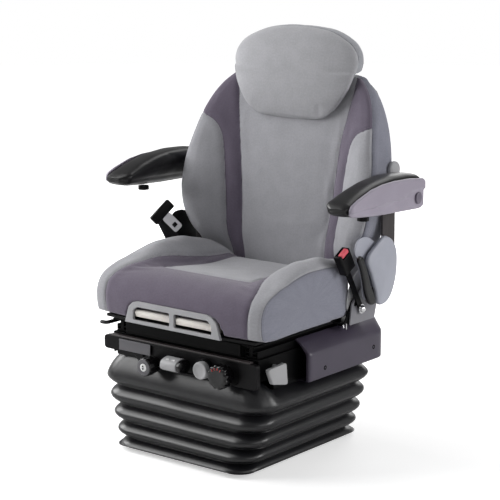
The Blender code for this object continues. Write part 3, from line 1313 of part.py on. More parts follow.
def build_rest_shell():
    """Armrest shell: the light outer wall and the floor under the pad."""
    outer = REST_X + REST_HALF_W
    y0, y1 = REST_TIP_Y + 0.014, REST_REAR_Y - 0.004
    low = REST_BOTTOM_Z
    top = [(y, rest_top(y) - 0.010) for y in np.linspace(y1, y0 + 0.02, 7)]
    outline = [(y0, low + 0.014), (y0 + 0.004, low + 0.008), (y1 - 0.02, low - 0.005), (y1, low + 0.006)]
    outline += top + [(y0, rest_top(y0) - 0.009)]
    wall = plate("armrest_shell_left", [outline], outer - REST_SHELL_T, outer, "YZ", "light_plastic", 0.0015)
    inner = REST_X - REST_HALF_W + 0.003
    floor = box("armrest_floor", (inner, y0 + 0.012, low), (outer - REST_SHELL_T / 2, y1 - 0.010,
                low + REST_FLOOR_T), "light_plastic")
    return join(bake(wall), [floor])


def build_rest_cap():
    """Oval cap over the armrest pivot."""
    start = REST_X + REST_HALF_W + SEAT_GAP
    outline = [(u, REST_PIVOT_Z + (v - REST_PIVOT_Z) * 1.25) for u, v in
               circle((REST_PIVOT_Y, REST_PIVOT_Z), REST_CAP_R, 16)]
    return plate("armrest_cap_left", [outline], start, start + REST_CAP_T, "YZ", "black_plastic")


def build_rest_wheel():
    """Knurled wheel under the armrest that sets its angle."""
    outline = []
    for tooth in range(12):
        outline += arc((REST_X, WHEEL_Y), WHEEL_R * (1.0 if tooth % 2 else 0.93), tooth * 30, tooth * 30 + 18, 2)
    top = REST_BOTTOM_Z - SEAT_GAP
    return plate("rest_wheel_left", [outline], top - WHEEL_H, top, "XY", "black_plastic")


def head_ring(z, half_w, front, rear, power=3.2, count=24):
    """Rounded outline of the head restraint at one height."""
    ring = []
    middle, depth = (front + rear) / 2, (rear - front) / 2
    for step in range(count):
        angle = 2 * math.pi * step / count
        c, s = math.cos(angle), math.sin(angle)
        x = half_w * math.copysign(abs(c) ** (2 / power), c)
        y = middle + depth * math.copysign(abs(s) ** (2 / power), s)
        ring.append((x, y, z))
    return ring


def build_headrest():
    """Head restraint: its lower front lies before the pad, its upper part reaches back over it."""
    def before_pad(z):
        return back_centre(z) - HEAD_GAP

    lower = [(0.787, 0.080, 0.206), (0.793, 0.103, 0.199), (0.812, 0.132, 0.194), (0.836, 0.152, 0.193),
             (0.862, 0.168, 0.194), (0.886, 0.178, 0.196), (0.9025, 0.183, 0.197)]
    upper = [(HEAD_UNDERSIDE, 0.184, 0.198, 1.0), (0.925, 0.188, 0.200, 1.0), (0.950, 0.182, 0.204, 1.0),
             (0.972, 0.163, 0.210, 0.99), (0.990, 0.130, 0.220, 0.96), (1.002, 0.092, 0.232, 0.90),
             (1.009, 0.045, 0.246, 0.78)]
    rings = [head_ring(z, half_w, front, before_pad(z)) for z, half_w, front in lower]
    for z, half_w, front, share in upper:
        rear = back_rear(z) + HEAD_REAR_STEP
        rings.append(head_ring(z, half_w, front, front + (rear - front) * share))
    return loft("headrest", rings, "grey_fabric")


def rear_slab(name, half_w, near, far, low, high):
    """Slab that leans with the rear of the backrest pad, between two distances behind it."""
    rings = []
    for z in (low, high):
        y = back_rear(z)
        rings.append([(-half_w, y + near, z), (half_w, y + near, z), (half_w, y + far, z),
                      (-half_w, y + far, z)])
    return loft(name, rings, "black_steel", smooth=False)


def build_head_plate():
    """Slide plate of the head restraint, behind the pad."""
    near = 2 * SEAT_GAP
    return rear_slab("headrest_plate", HEAD_PLATE_HALF_W, near, near + HEAD_PLATE_T, HEAD_PLATE_LOW_Z,
                     HEAD_UNDERSIDE - 0.0016)


def build_buckle():
    """Buckle on its stalk: anchor pin, stalk, housing with a tongue slot, and red button."""
    pivot_z = CARRIAGE_Z + STALK_RISE
    x0 = SIDE_PLATE_X + SIDE_PLATE_T + RUN_GAP * 2
    x1 = x0 + STALK_T
    lean = Vector((-math.sin(STALK_LEAN), math.cos(STALK_LEAN)))
    foot = Vector((STALK_Y, pivot_z))
    head = foot + lean * STALK_LEN
    stalk = plate("buckle_stalk", [stadium(foot, head, STALK_W / 2)], x0, x1, "YZ", "black_plastic")
    pin = cylinder("stalk_pin", (SIDE_PLATE_X + SIDE_PLATE_T + SEAT_GAP, *foot), (x1 + 0.004, *foot), 0.0065,
                   "black_plastic", 12)
    join(stalk, [pin])
    middle_x = (x0 + x1) / 2 + 0.003
    low = foot + lean * (STALK_LEN + STALK_W / 2 + SEAT_GAP)
    turn = Matrix.Translation((0, low[0], low[1])) @ Matrix.Rotation(STALK_LEAN, 4, "X")
    housing = box("buckle_housing", (middle_x - BUCKLE_T / 2, -BUCKLE_W / 2, 0.0),
                  (middle_x + BUCKLE_T / 2, BUCKLE_W / 2, BUCKLE_H), "black_plastic", 0.003)
    bake(housing)
    slot = box("buckle_slot", (middle_x - BUCKLE_T / 2 + 0.003, -SLOT_W / 2, BUCKLE_H - SLOT_DEPTH),
               (middle_x - BUCKLE_T / 2 + 0.003 + SLOT_T, SLOT_W / 2, BUCKLE_H + 0.01), "black_plastic")
    well_x = middle_x - BUCKLE_T / 2 + 0.003 + SLOT_T + 0.002
    well = box("button_well", (well_x, -SLOT_W / 2, BUCKLE_H - 0.012),
               (middle_x + BUCKLE_T / 2 + 0.01, SLOT_W / 2, BUCKLE_H + 0.01), "black_plastic")
    button = box("buckle_button", (well_x + 0.0006, -SLOT_W / 2 + 0.0006, BUCKLE_H - 0.0075),
                 (middle_x + BUCKLE_T / 2 + 0.0005, SLOT_W / 2 - 0.0006, BUCKLE_H + 0.002), "button_red", 0.001)
    cut(housing, [slot, well])
    bake(button)
    for piece in (housing, slot, well, button):
        piece.data.transform(turn)
    return stalk, housing, button, (x0, *foot)


def build_belt():
    """Belt retractor on the right side plate, webbing, and the tongue in its grip above the bolster."""
    wall = SIDE_PLATE_X + SIDE_PLATE_T + SEAT_GAP
    low = CARRIAGE_Z + 0.004
    retractor = box("belt_retractor", (-wall - RETRACTOR_T, RETRACTOR_Y - RETRACTOR_L / 2, low),
                    (-wall, RETRACTOR_Y + RETRACTOR_L / 2, low + RETRACTOR_H), "black_plastic", 0.004)
    centre = Vector((-wall - WEB_STANDOFF + GRIP_T / 2, GRIP_Y, GRIP_Z))
    heading, lean = math.radians(TONGUE_HEADING), math.radians(TONGUE_LEAN)
    reach = GRIP_W / 2 + WEB_END_GAP
    end = Vector((centre.y + math.cos(lean) * math.sin(heading) * reach, centre.z - math.sin(lean) * reach))
    foot = Vector((RETRACTOR_Y, low + RETRACTOR_H + SEAT_GAP))
    across = Vector((math.sin(heading) * math.sin(lean), math.cos(lean))).normalized() * WEB_W / 2
    half_foot = Vector((WEB_W / 2, 0.0))
    outline = [tuple(foot - half_foot), tuple(foot + half_foot), tuple(end + across), tuple(end - across)]
    web_x = wall + WEB_STANDOFF
    webbing = plate("belt_webbing", [outline], -web_x - WEB_T, -web_x, "YZ", "black_plastic")
    grip = box("tongue_grip", (-GRIP_W / 2, -GRIP_T / 2, -GRIP_LEN / 2), (GRIP_W / 2, GRIP_T / 2, GRIP_LEN / 2),
               "black_plastic", 0.004)
    half = TONGUE_W / 2
    start = GRIP_W / 2 + SEAT_GAP
    tip = start + TONGUE_LEN
    blade = rounded([(start, -half), (tip, -half), (tip, half), (start, half)], 0.007, 3)
    eye = rounded([(tip - 0.023, -0.006), (tip - 0.011, -0.006), (tip - 0.011, 0.006), (tip - 0.023, 0.006)],
                  0.002, 2)
    tongue = plate("belt_tongue", [blade, eye], -TONGUE_T / 2, TONGUE_T / 2, "XZ", "bright_steel")
    lie = (Matrix.Translation(centre) @ Matrix.Rotation(heading, 4, "Z") @ Matrix.Rotation(lean, 4, "Y"))
    for piece in (bake(grip), tongue):
        piece.data.transform(lie)
    return retractor, webbing, grip, tongue, tuple(centre)


def main():
    """Build every piece and hang the moving ones on their joint axes."""
    clear_scene()
    build_base()
    build_boot()
    build_air_spring()
    outer = scissor("scissor_outer", OUTER_ARM_X, ROLLER_LOW_Z, ROLLER_HIGH_Z)
    inner = scissor("scissor_inner", INNER_ARM_X, ROLLER_HIGH_Z, ROLLER_LOW_Z)

    frame = build_upper_frame()
    panel, strip = build_panel()
    cover_left = build_side_cover()
    cover_right = mirrored("side_cover_right", cover_left)
    rails = [build_lower_rail("lower_rail_left", RAIL_X), build_lower_rail("lower_rail_right", -RAIL_X)]
    suspension = carried_by("suspension", (0, 0, ROLLER_HIGH_Z),
                            [frame, panel, strip, cover_left, cover_right] + rails)
    carried_by("outer_link", (0, LINK_PIVOT_Y, ROLLER_LOW_Z), [outer])
    carried_by("inner_link", (0, LINK_PIVOT_Y, ROLLER_HIGH_Z), [inner], suspension)

    knob, cap, place = build_ride_knob()
    carried_by("ride_knob_axis", place, [knob, cap], suspension)
    rocker, place = build_rocker()
    carried_by("rocker_axis", place, [rocker], suspension)
    button, place = build_button()
    carried_by("button_axis", place, [button], suspension)
    damper, place = build_damper_knob()
    carried_by("damper_axis", place, [damper], suspension)
    tab, place = build_tab()
    carried_by("tab_axis", place, [tab], suspension)

    plate_left = build_side_plate()
    plate_right = mirrored("side_plate_right", plate_left)
    upper = [build_upper_rail("upper_rail_left", RAIL_X), build_upper_rail("upper_rail_right", -RAIL_X)]
    retractor, webbing, grip, tongue, grip_place = build_belt()
    carriage = carried_by("carriage", (0, 0, RAIL_Z),
                          [build_carriage(), plate_left, plate_right, retractor, webbing] + upper, suspension)
    lever, place = build_release_lever()
    carried_by("release_axis", place, [lever], carriage)
    carried_by("tongue_axis", grip_place, [grip, tongue], carriage)
    stalk, housing, red, place = build_buckle()
    buckle = carried_by("buckle_axis", place, [stalk, housing], carriage)
    carried_by("red_button_axis", place, [red], buckle)

    pan = carried_by("tilt_axis", (0, TILT_Y, TILT_Z), [build_tilt_pan()], carriage)
    cushion = carried_by("cushion_slide", (0, TILT_Y, BOARD_Z), [build_board(), build_cushion(), build_trim()],
                         pan)
    for name, side in (("depth_handle", 1), ("tilt_handle", -1)):
        handle, place = build_handle(name, side)
        carried_by(name + "_axis", place, [handle], cushion)

    bracket = build_arm_bracket()
    hinge_cover = build_hinge_cover()
    backrest = carried_by("recline_axis", (0, RECLINE_Y, RECLINE_Z),
                          [build_backrest(), build_back_frame(), build_back_shell(), bracket, hinge_cover,
                           mirrored("arm_bracket_right", bracket),
                           mirrored("hinge_cover_right", hinge_cover)], carriage)
    lever, place = build_recline_lever()
    carried_by("recline_lever_axis", place, [lever], backrest)
    lumbar, place = build_lumbar_knob()
    carried_by("lumbar_axis", place, [lumbar], backrest)
    carried_by("headrest_slide", (0, back_rear(HEAD_UNDERSIDE), HEAD_UNDERSIDE),
               [build_headrest(), build_head_plate()], backrest)

    left = [build_rest_pad(), build_rest_shell(), build_rest_cap(), build_rest_wheel()]
    right = [mirrored(piece.name.replace("left", "right"), piece) for piece in left]
    for side, name, pieces in ((1, "left", left), (-1, "right", right)):
        axis = carried_by("armrest_axis_" + name, (side * REST_X, REST_PIVOT_Y, REST_PIVOT_Z), pieces[:3],
                          backrest)
        carried_by("wheel_axis_" + name, (side * REST_X, WHEEL_Y, REST_BOTTOM_Z), pieces[3:], axis)


main()
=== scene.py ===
"""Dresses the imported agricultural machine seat: covers, boot, controls, finishes, camera and studio."""

import json
import logging
import math
from dataclasses import dataclass
from enum import Enum
from typing import Optional, Sequence

import bmesh
import bpy
import numpy as np
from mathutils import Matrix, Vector

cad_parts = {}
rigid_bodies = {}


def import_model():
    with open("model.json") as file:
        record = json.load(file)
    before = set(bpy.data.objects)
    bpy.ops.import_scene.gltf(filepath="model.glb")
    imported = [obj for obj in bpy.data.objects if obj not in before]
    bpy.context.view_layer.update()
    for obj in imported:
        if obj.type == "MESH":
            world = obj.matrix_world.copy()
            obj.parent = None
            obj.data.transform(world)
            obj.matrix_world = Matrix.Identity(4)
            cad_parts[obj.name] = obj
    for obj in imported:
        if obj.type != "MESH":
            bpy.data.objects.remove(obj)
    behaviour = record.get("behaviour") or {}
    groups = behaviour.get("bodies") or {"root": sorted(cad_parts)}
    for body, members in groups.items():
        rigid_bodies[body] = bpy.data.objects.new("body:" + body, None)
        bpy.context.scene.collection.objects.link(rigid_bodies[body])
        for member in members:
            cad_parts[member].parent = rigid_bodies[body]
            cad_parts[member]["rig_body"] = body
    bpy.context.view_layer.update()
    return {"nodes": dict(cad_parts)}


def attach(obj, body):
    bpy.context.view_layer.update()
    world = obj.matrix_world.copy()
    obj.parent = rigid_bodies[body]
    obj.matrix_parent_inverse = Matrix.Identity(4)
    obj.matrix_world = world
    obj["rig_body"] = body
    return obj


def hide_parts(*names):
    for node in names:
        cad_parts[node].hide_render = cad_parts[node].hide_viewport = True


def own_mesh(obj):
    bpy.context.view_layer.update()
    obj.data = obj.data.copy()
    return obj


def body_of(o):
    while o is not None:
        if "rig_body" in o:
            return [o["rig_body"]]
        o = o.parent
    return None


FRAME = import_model()
LOG = logging.getLogger("seat")
Array = np.ndarray
NO_SEAM = 0.05  # seam distance where a cover has no seam near
SEWN = 0.0035  # cloth nearer to a seam than this is held


class Side(Enum):
    """The two sides of the seat, by the sign of X."""

    LEFT = 1
    RIGHT = -1

    @property
    def word(self) -> str:
        """Word that piece names end with."""
        return self.name.lower()


class Plane(Enum):
    """Plane in which a flat outline is drawn; the third axis takes its thickness."""

    XY = (0, 1, 2)
    XZ = (0, 2, 1)
    YZ = (1, 2, 0)


# ---------------------------------------------------------------- curves and fields


def smooth(value: Array) -> Array:
    """S-shaped step 3t^2 - 2t^3 of the value held between 0 and 1."""
    t = np.clip(value, 0.0, 1.0)
    return t * t * (3.0 - 2.0 * t)


def catmull(knots: Array, t: Array, closed: bool = False) -> Array:
    """Catmull-Rom curve: each span blends four neighbouring knots with cubic weights.

    Args:
        knots: points along the second last axis, shape (..., k, d).
        t: parameters, where a whole number is a knot.
        closed: whether the last knot leads back to the first.

    Returns:
        Points of shape (..., len(t), d).
    """
    count = knots.shape[-2]
    spans = count if closed else count - 1
    base = np.clip(np.floor(t).astype(int), 0, spans - 1)
    f = (t - base)[:, None]
    steps = [base - 1, base, base + 1, base + 2]
    steps = [s % count if closed else np.clip(s, 0, count - 1) for s in steps]
    a, b, c, d = (np.take(knots, s, axis=-2) for s in steps)
    return 0.5 * (2 * b + (c - a) * f + (2 * a - 5 * b + 4 * c - d) * f**2
                  + (3 * b - a - 3 * c + d) * f**3)


def lengths_along(path: Array) -> Array:
    """Length from the start of a path to each of its points."""
    return np.concatenate([[0.0], np.cumsum(np.linalg.norm(np.diff(path, axis=0), axis=1))])


def even_parameters(knots: Array, count: int, closed: bool = False) -> Array:
    """Parameters that space points evenly by length on the curve through one row of knots.

    Args:
        knots: points of one curve, shape (k, d).
        count: number of points wanted.
        closed: whether the curve leads back to its start.

    Returns:
        Parameters for catmull().
    """
    spans = len(knots) if closed else len(knots) - 1
    fine = np.linspace(0.0, spans, spans * 24 + 1)
    path = catmull(knots, np.minimum(fine, spans - 1e-9), closed)
    length = lengths_along(path)
    wanted = np.linspace(0.0, length[-1], count + 1 if closed else count)
    found = np.interp(wanted, length, fine)
    return np.minimum(found[:-1] if closed else found, spans - 1e-9)


def curve_through(knots: Sequence[Sequence[float]], count: int, closed: bool = False) -> Array:
    """Evenly spaced points of the smooth curve through the knots."""
    rows = np.array(knots, float)
    return catmull(rows, even_parameters(rows, count, closed), closed)


def nearest_on_path(points: Array, path: Array) -> tuple[Array, Array]:
    """Distance of flat points from a polyline, and how far along it their nearest place lies.

    Args:
        points: shape (n, 2).
        path: shape (m, 2).

    Returns:
        Distances and lengths along the path, both of shape (n,).
    """
    start, step = path[:-1], np.diff(path, axis=0)
    size = np.maximum((step**2).sum(1), 1e-12)
    before = np.concatenate([[0.0], np.cumsum(np.sqrt(size))])[:-1]
    away = points[:, None, :] - start[None]
    share = np.clip((away * step[None]).sum(2) / size, 0.0, 1.0)
    gap = np.linalg.norm(away - share[..., None] * step[None], axis=2)
    best = gap.argmin(1)
    rows = np.arange(len(points))
    return gap[rows, best], before[best] + share[rows, best] * np.sqrt(size)[best]


def signed_distance(points: Array, ring: Array) -> Array:
    """Distance of flat points from a closed outline, below 0 inside it by the crossing rule."""
    path = np.vstack([ring, ring[:1]])
    gap, _ = nearest_on_path(points, path)
    x, y = points[:, 0:1], points[:, 1:2]
    x0, y0, x1, y1 = path[:-1, 0], path[:-1, 1], path[1:, 0], path[1:, 1]
    spans = (y0 > y) != (y1 > y)
    rise = np.where(np.abs(y1 - y0) < 1e-12, 1e-12, y1 - y0)
    crossing = spans & (x < (x1 - x0) * (y - y0) / rise + x0)
    return np.where(crossing.sum(1) % 2 == 1, -gap, gap)


def nearest_seam(gaps: Sequence[Array], runs: Sequence[Array]) -> tuple[Array, Array]:
    """Distance from the nearest of several seams, and the length along that seam.

    Args:
        gaps: distances from each seam, all of shape (n,).
        runs: lengths along each seam, all of shape (n,).

    Returns:
        Distances and lengths, both of shape (n,).
    """
    every = np.stack(gaps)
    best, index = every.argmin(0), np.arange(every.shape[1])
    return every[best, index], np.stack(runs)[best, index]


def superellipse(theta: Array, first: float, second: float) -> tuple[Array, Array]:
    """Cosine and sine of the angles, with their sizes raised to the two powers."""
    c, s = np.cos(theta), np.sin(theta)
    return np.sign(c) * np.abs(c) ** first, np.sign(s) * np.abs(s) ** second


def closing_rings(edge: Array, shares: Array, axis: int, moves: Array) -> Array:
    """Rings that shrink from an end ring towards its middle and move along one axis.

    Args:
        edge: the end ring, shape (n, 3).
        shares: size of each new ring against the end ring, shape (k,).
        axis: number of the axis.
        moves: way of each new ring along it, shape (k,).

    Returns:
        Points of shape (k, n, 3).
    """
    core = edge.mean(0)
    rings = core + (edge - core)[None] * shares[:, None, None]
    rings[..., axis] += moves[:, None]
    return rings


def with_mirror(half: Array) -> Array:
    """Closed outline from its half at x above 0, read from the middle line round to the middle line."""
    return np.vstack([half, (half * (-1, 1))[::-1]])


# ---------------------------------------------------------------- meshes


def grid_quads(rows: int, cols: int, wrap: bool) -> Array:
    """Quads of a grid numbered row by row: corners (r, c), (r, c+1), (r+1, c+1), (r+1, c)."""
    r = np.arange(rows - 1)[:, None]
    c = np.arange(cols if wrap else cols - 1)[None]
    a, b = r * cols + c, r * cols + (c + 1) % cols
    return np.stack([a, b, b + cols, a + cols], axis=-1).reshape(-1, 4)


def placed(name: str, data: bpy.types.ID) -> bpy.types.Object:
    """New object of the data in the scene."""
    item = bpy.data.objects.new(name, data)
    bpy.context.scene.collection.objects.link(item)
    return item


def smooth_faces(mesh: bpy.types.Mesh) -> None:
    """Shades every face smooth."""
    mesh.polygons.foreach_set("use_smooth", np.ones(len(mesh.polygons), bool))


def new_piece(name: str, points: Array, faces: list[list[int]], body: str, finish: "Finish",
              sharp: float = 40.0) -> bpy.types.Object:
    """Makes a closed piece from points and faces, its normals outward, riding on a body.

    Args:
        name: piece name.
        points: vertices, shape (n, 3).
        faces: corner numbers of each face.
        body: CAD body that carries it.
        finish: its surface finish.
        sharp: angle in degrees past which an edge is shaded sharp.

    Returns:
        The new object.
    """
    mesh = bpy.data.meshes.new(name)
    mesh.from_pydata(points.reshape(-1, 3).tolist(), [], faces)
    shape = bmesh.new()
    shape.from_mesh(mesh)
    bmesh.ops.remove_doubles(shape, verts=shape.verts, dist=1e-6)
    bmesh.ops.dissolve_degenerate(shape, edges=shape.edges, dist=1e-7)
    bmesh.ops.recalc_face_normals(shape, faces=shape.faces)
    shape.to_mesh(mesh)
    shape.free()
    smooth_faces(mesh)
    mesh.set_sharp_from_angle(angle=math.radians(sharp))
    piece = placed(name, mesh)
    mesh.materials.append(finish.material())
    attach(piece, body)
    LOG.info("piece %s: %d faces on %s", name, len(mesh.polygons), body)
    return piece


def closing_quads(rows: int, cols: int) -> list[list[int]]:
    """Quads that join the first ring of a grid to its last."""
    last = (rows - 1) * cols
    return [[c, (c + 1) % cols, last + (c + 1) % cols, last + c] for c in range(cols)]


def tube_faces(rows: int, cols: int) -> list[list[int]]:
    """Faces of rings joined one to the next, with a flat face on each end."""
    ends = [list(range(cols))[::-1], list(range((rows - 1) * cols, rows * cols))]
    return grid_quads(rows, cols, True).tolist() + ends


def combined(parts: Sequence[tuple[Array, list[list[int]]]]) -> tuple[Array, list[list[int]]]:
    """Puts several shells into one list of points and one list of faces."""
    points, faces, start = [], [], 0
    for shell, corners in parts:
        flat = shell.reshape(-1, 3)
        points.append(flat)
        faces += [[index + start for index in face] for face in corners]
        start += len(flat)
    return np.vstack(points), faces


def slab(outline: Array, low: float, high: float, edge: float, plane: Plane,
         dome: float = 0.0) -> tuple[Array, list[list[int]]]:
    """Plate with quarter-round edges: each ring is the outline moved inwards along its own normals.

    Args:
        outline: flat outline, shape (n, 2).
        low: lower limit on the thickness axis.
        high: upper limit on the thickness axis.
        edge: radius of the rounded edges.
        plane: plane of the outline.
        dome: further height of the high face at its middle.

    Returns:
        Points and faces.
    """
    ahead = np.roll(outline, -1, 0) - np.roll(outline, 1, 0)
    normal = np.stack([ahead[:, 1], -ahead[:, 0]], 1)
    normal /= np.maximum(np.linalg.norm(normal, axis=1, keepdims=True), 1e-9)
    area = (outline[:, 0] * np.roll(outline[:, 1], -1) - np.roll(outline[:, 0], -1) * outline[:, 1]).sum()
    normal *= np.sign(area)
    turn = np.radians((0, 25, 50, 72, 90))
    inset = np.concatenate([edge * (1 - np.sin(turn)), edge * (1 - np.sin(turn[::-1]))])
    depth = np.concatenate([low + edge * (1 - np.cos(turn)), high - edge * (1 - np.cos(turn[::-1]))])
    depth = np.sort(depth)
    rings = outline[None] - normal[None] * inset[:, None, None]
    if dome:
        middle = outline.mean(0)
        for share in (0.9, 0.75, 0.5, 0.25):
            rings = np.concatenate([rings, (middle + (rings[9] - middle) * share)[None]])
            depth = np.append(depth, high + dome * (1 - share**2.2))
    first, second, third = plane.value
    points = np.zeros(rings.shape[:2] + (3,))
    points[..., first], points[..., second] = rings[..., 0], rings[..., 1]
    points[..., third] = depth[:, None]
    return points, tube_faces(len(rings), len(outline))


def lathe(profile: Sequence[Sequence[float]], centre: Sequence[float], axis: Sequence[float],
          steps: int = 40, flutes: int = 0, flute: float = 0.0) -> tuple[Array, list[list[int]]]:
    """Turned shape: radius and height pairs swept round an axis, the radius waved by the flutes.

    Args:
        profile: (radius, height) pairs from one end to the other.
        centre: where height 0 lies.
        axis: direction of the height.
        steps: points round the shape.
        flutes: number of grip flutes.
        flute: depth of the flutes.

    Returns:
        Points and faces.
    """
    rows = np.array(profile, float)
    way = np.array(Vector(axis).normalized())
    across = np.cross(way, (0.31, 0.17, 0.93))
    across /= np.linalg.norm(across)
    other = np.cross(way, across)
    angle = np.linspace(0, 2 * np.pi, steps, endpoint=False)
    wave = flute * (0.5 - 0.5 * np.cos(angle * flutes)) if flutes else np.zeros(steps)
    radius = np.maximum(rows[:, :1] - wave[None] * np.minimum(1.0, rows[:, :1] / rows[:, 0].max()) ** 3, 0)
    ring = np.cos(angle)[:, None] * across + np.sin(angle)[:, None] * other
    points = np.array(centre) + radius[..., None] * ring[None] + rows[:, 1][:, None, None] * way
    return points, tube_faces(len(rows), steps)


# ---------------------------------------------------------------- shader groups and finishes


def linear(colour: Sequence[float]) -> tuple[float, float, float, float]:
    """Linear colour of an 8-bit screen colour."""
    part = np.array(colour, float) / 255.0
    plain = np.where(part <= 0.04045, part / 12.92, ((part + 0.055) / 1.055) ** 2.4)
    return (*plain.tolist(), 1.0)


class Wiring:
    """Adds nodes to a shader tree and links them."""

    def __init__(self, tree: bpy.types.NodeTree) -> None:
        """Keeps the tree."""
        self.tree = tree

    def add(self, kind: str, inputs: Optional[dict] = None, **settings: object) -> bpy.types.Node:
        """Adds one node.

        Args:
            kind: node type without the ShaderNode prefix.
            inputs: values or output sockets by input name or number.
            settings: properties of the node.

        Returns:
            The node.
        """
        node = self.tree.nodes.new("ShaderNode" + kind)
        for key, value in settings.items():
            setattr(node, key, value)
        for key, value in (inputs or {}).items():
            if isinstance(value, bpy.types.NodeSocket):
                self.tree.links.new(value, node.inputs[key])
            else:
                node.inputs[key].default_value = value
        return node

    def maths(self, operation: str, first: object, second: object = 0.5,
              clamp: bool = False) -> bpy.types.NodeSocket:
        """Result of a Math node with one or two inputs."""
        return self.add("Math", {0: first, 1: second}, operation=operation, use_clamp=clamp).outputs[0]

    def weigh(self, first: object, share: float, second: object, other: float) -> bpy.types.NodeSocket:
        """Sum of two values, each times its weight."""
        return self.maths("ADD", self.maths("MULTIPLY", first, share), self.maths("MULTIPLY", second, other))

    def spread(self, value: object, low: float, high: float, to_low: float,
               to_high: float) -> bpy.types.NodeSocket:
        """Value moved smoothly from one range to another."""
        node = self.add("MapRange", {"Value": value, "From Min": low, "From Max": high,
                                     "To Min": to_low, "To Max": to_high},
                        interpolation_type="SMOOTHSTEP")
        return node.outputs[0]

    def blend(self, share: object, first: object, second: object) -> bpy.types.NodeSocket:
        """Colour between two colours."""
        node = self.add("Mix", {0: share, 6: first, 7: second}, data_type="RGBA")
        return node.outputs[2]

    def finish(self, end: bpy.types.Node, **results: bpy.types.NodeSocket) -> bpy.types.NodeTree:
        """Links a group's results to the sockets of its output node."""
        for label, socket in results.items():
            self.tree.links.new(socket, end.inputs[label])
        return self.tree


def empty_wiring(owner: bpy.types.ID) -> Wiring:
    """Wiring of a material's or a world's node tree, cleared."""
    owner.use_nodes = True
    owner.node_tree.nodes.clear()
    return Wiring(owner.node_tree)


def shader_group(name: str, inputs: Sequence[tuple[str, str, float]],
                 outputs: Sequence[str]) -> tuple[Wiring, bpy.types.Node, bpy.types.Node]:
    """Starts a shader group with named sockets.

    Args:
        name: group name.
        inputs: socket name, socket type and default.
        outputs: names of the float outputs.

    Returns:
        The wiring, the group's input node and its output node.
    """
    tree = bpy.data.node_groups.new(name, "ShaderNodeTree")
    for label, kind, value in inputs:
        socket = tree.interface.new_socket(label, in_out="INPUT", socket_type=kind)
        if kind == "NodeSocketFloat":
            socket.default_value = value
    for label in outputs:
        tree.interface.new_socket(label, in_out="OUTPUT", socket_type="NodeSocketFloat")
    wiring = Wiring(tree)
    return wiring, tree.nodes.new("NodeGroupInput"), tree.nodes.new("NodeGroupOutput")


def grain_group() -> bpy.types.NodeTree:
    """Moulded grain: cells for the height, two noises for tone and scuffs."""
    found = bpy.data.node_groups.get("moulded_grain")
    if found:
        return found
    w, start, end = shader_group("moulded_grain", (("Vector", "NodeSocketVector", 0.0),
                                                   ("Cells", "NodeSocketFloat", 900.0)),
                                 ("Height", "Tone", "Scuff"))
    place, cells = start.outputs["Vector"], start.outputs["Cells"]
    pebble = w.add("TexVoronoi", {"Vector": place, "Scale": cells}, feature="SMOOTH_F1")
    fine = w.add("TexNoise", {"Vector": place, "Scale": cells, "Detail": 3.0})
    cloud = w.add("TexNoise", {"Vector": place, "Scale": 14.0, "Detail": 4.0, "Roughness": 0.6})
    streak = w.add("TexNoise", {"Vector": place, "Scale": 60.0, "Detail": 6.0, "Distortion": 1.5})
    return w.finish(end, Height=w.weigh(pebble.outputs["Distance"], 0.7, fine.outputs["Fac"], 0.5),
                    Tone=cloud.outputs["Fac"], Scuff=w.spread(streak.outputs["Fac"], 0.62, 0.74, 0.0, 1.0))


def weave_group() -> bpy.types.NodeTree:
    """Woven cloth: crossed threads sin(u)·sin(v) with a yarn noise, and a soft mottle."""
    found = bpy.data.node_groups.get("woven_cloth")
    if found:
        return found
    w, start, end = shader_group("woven_cloth", (("Vector", "NodeSocketVector", 0.0),
                                                 ("Pitch", "NodeSocketFloat", 0.0016)),
                                 ("Height", "Thread", "Mottle"))
    split = w.add("SeparateXYZ", {0: start.outputs["Vector"]})
    turns = w.maths("DIVIDE", 2 * math.pi, start.outputs["Pitch"])
    weft = w.maths("SINE", w.maths("MULTIPLY", split.outputs["X"], turns))
    warp = w.maths("SINE", w.maths("MULTIPLY", split.outputs["Y"], turns))
    cross = w.maths("MULTIPLY", weft, warp)
    yarn = w.add("TexNoise", {"Vector": start.outputs["Vector"], "Scale": 900.0, "Detail": 2.0})
    height = w.maths("ADD", w.maths("MULTIPLY", cross, 0.4), yarn.outputs["Fac"])
    slub = w.add("TexNoise", {"Vector": start.outputs["Vector"], "Scale": 210.0, "Detail": 3.0,
                              "Roughness": 0.65})
    cloud = w.add("TexNoise", {"Vector": start.outputs["Vector"], "Scale": 26.0, "Detail": 4.0})
    return w.finish(end, Height=height, Thread=w.maths("ADD", w.maths("MULTIPLY", cross, 0.5), 0.5),
                    Mottle=w.weigh(slub.outputs["Fac"], 0.6, cloud.outputs["Fac"], 0.4))


def seam_group() -> bpy.types.NodeTree:
    """Sewn seam: a narrow valley at distance 0, and stitches on a line beside it by the length along it."""
    found = bpy.data.node_groups.get("sewn_seam")
    if found:
        return found
    w, start, end = shader_group("sewn_seam", (("Distance", "NodeSocketFloat", 1.0),
                                               ("Along", "NodeSocketFloat", 0.0)),
                                 ("Valley", "Stitch"))
    gap, along = start.outputs["Distance"], start.outputs["Along"]
    valley = w.spread(gap, 0.0, 0.0022, 1.0, 0.0)
    beside = w.spread(w.maths("ABSOLUTE", w.maths("SUBTRACT", gap, 0.0042)), 0.0, 0.0008, 1.0, 0.0)
    phase = w.maths("FRACT", w.maths("DIVIDE", along, 0.0045))
    dash = w.spread(phase, 0.66, 0.74, 1.0, 0.0)
    return w.finish(end, Valley=valley, Stitch=w.maths("MULTIPLY", beside, dash))


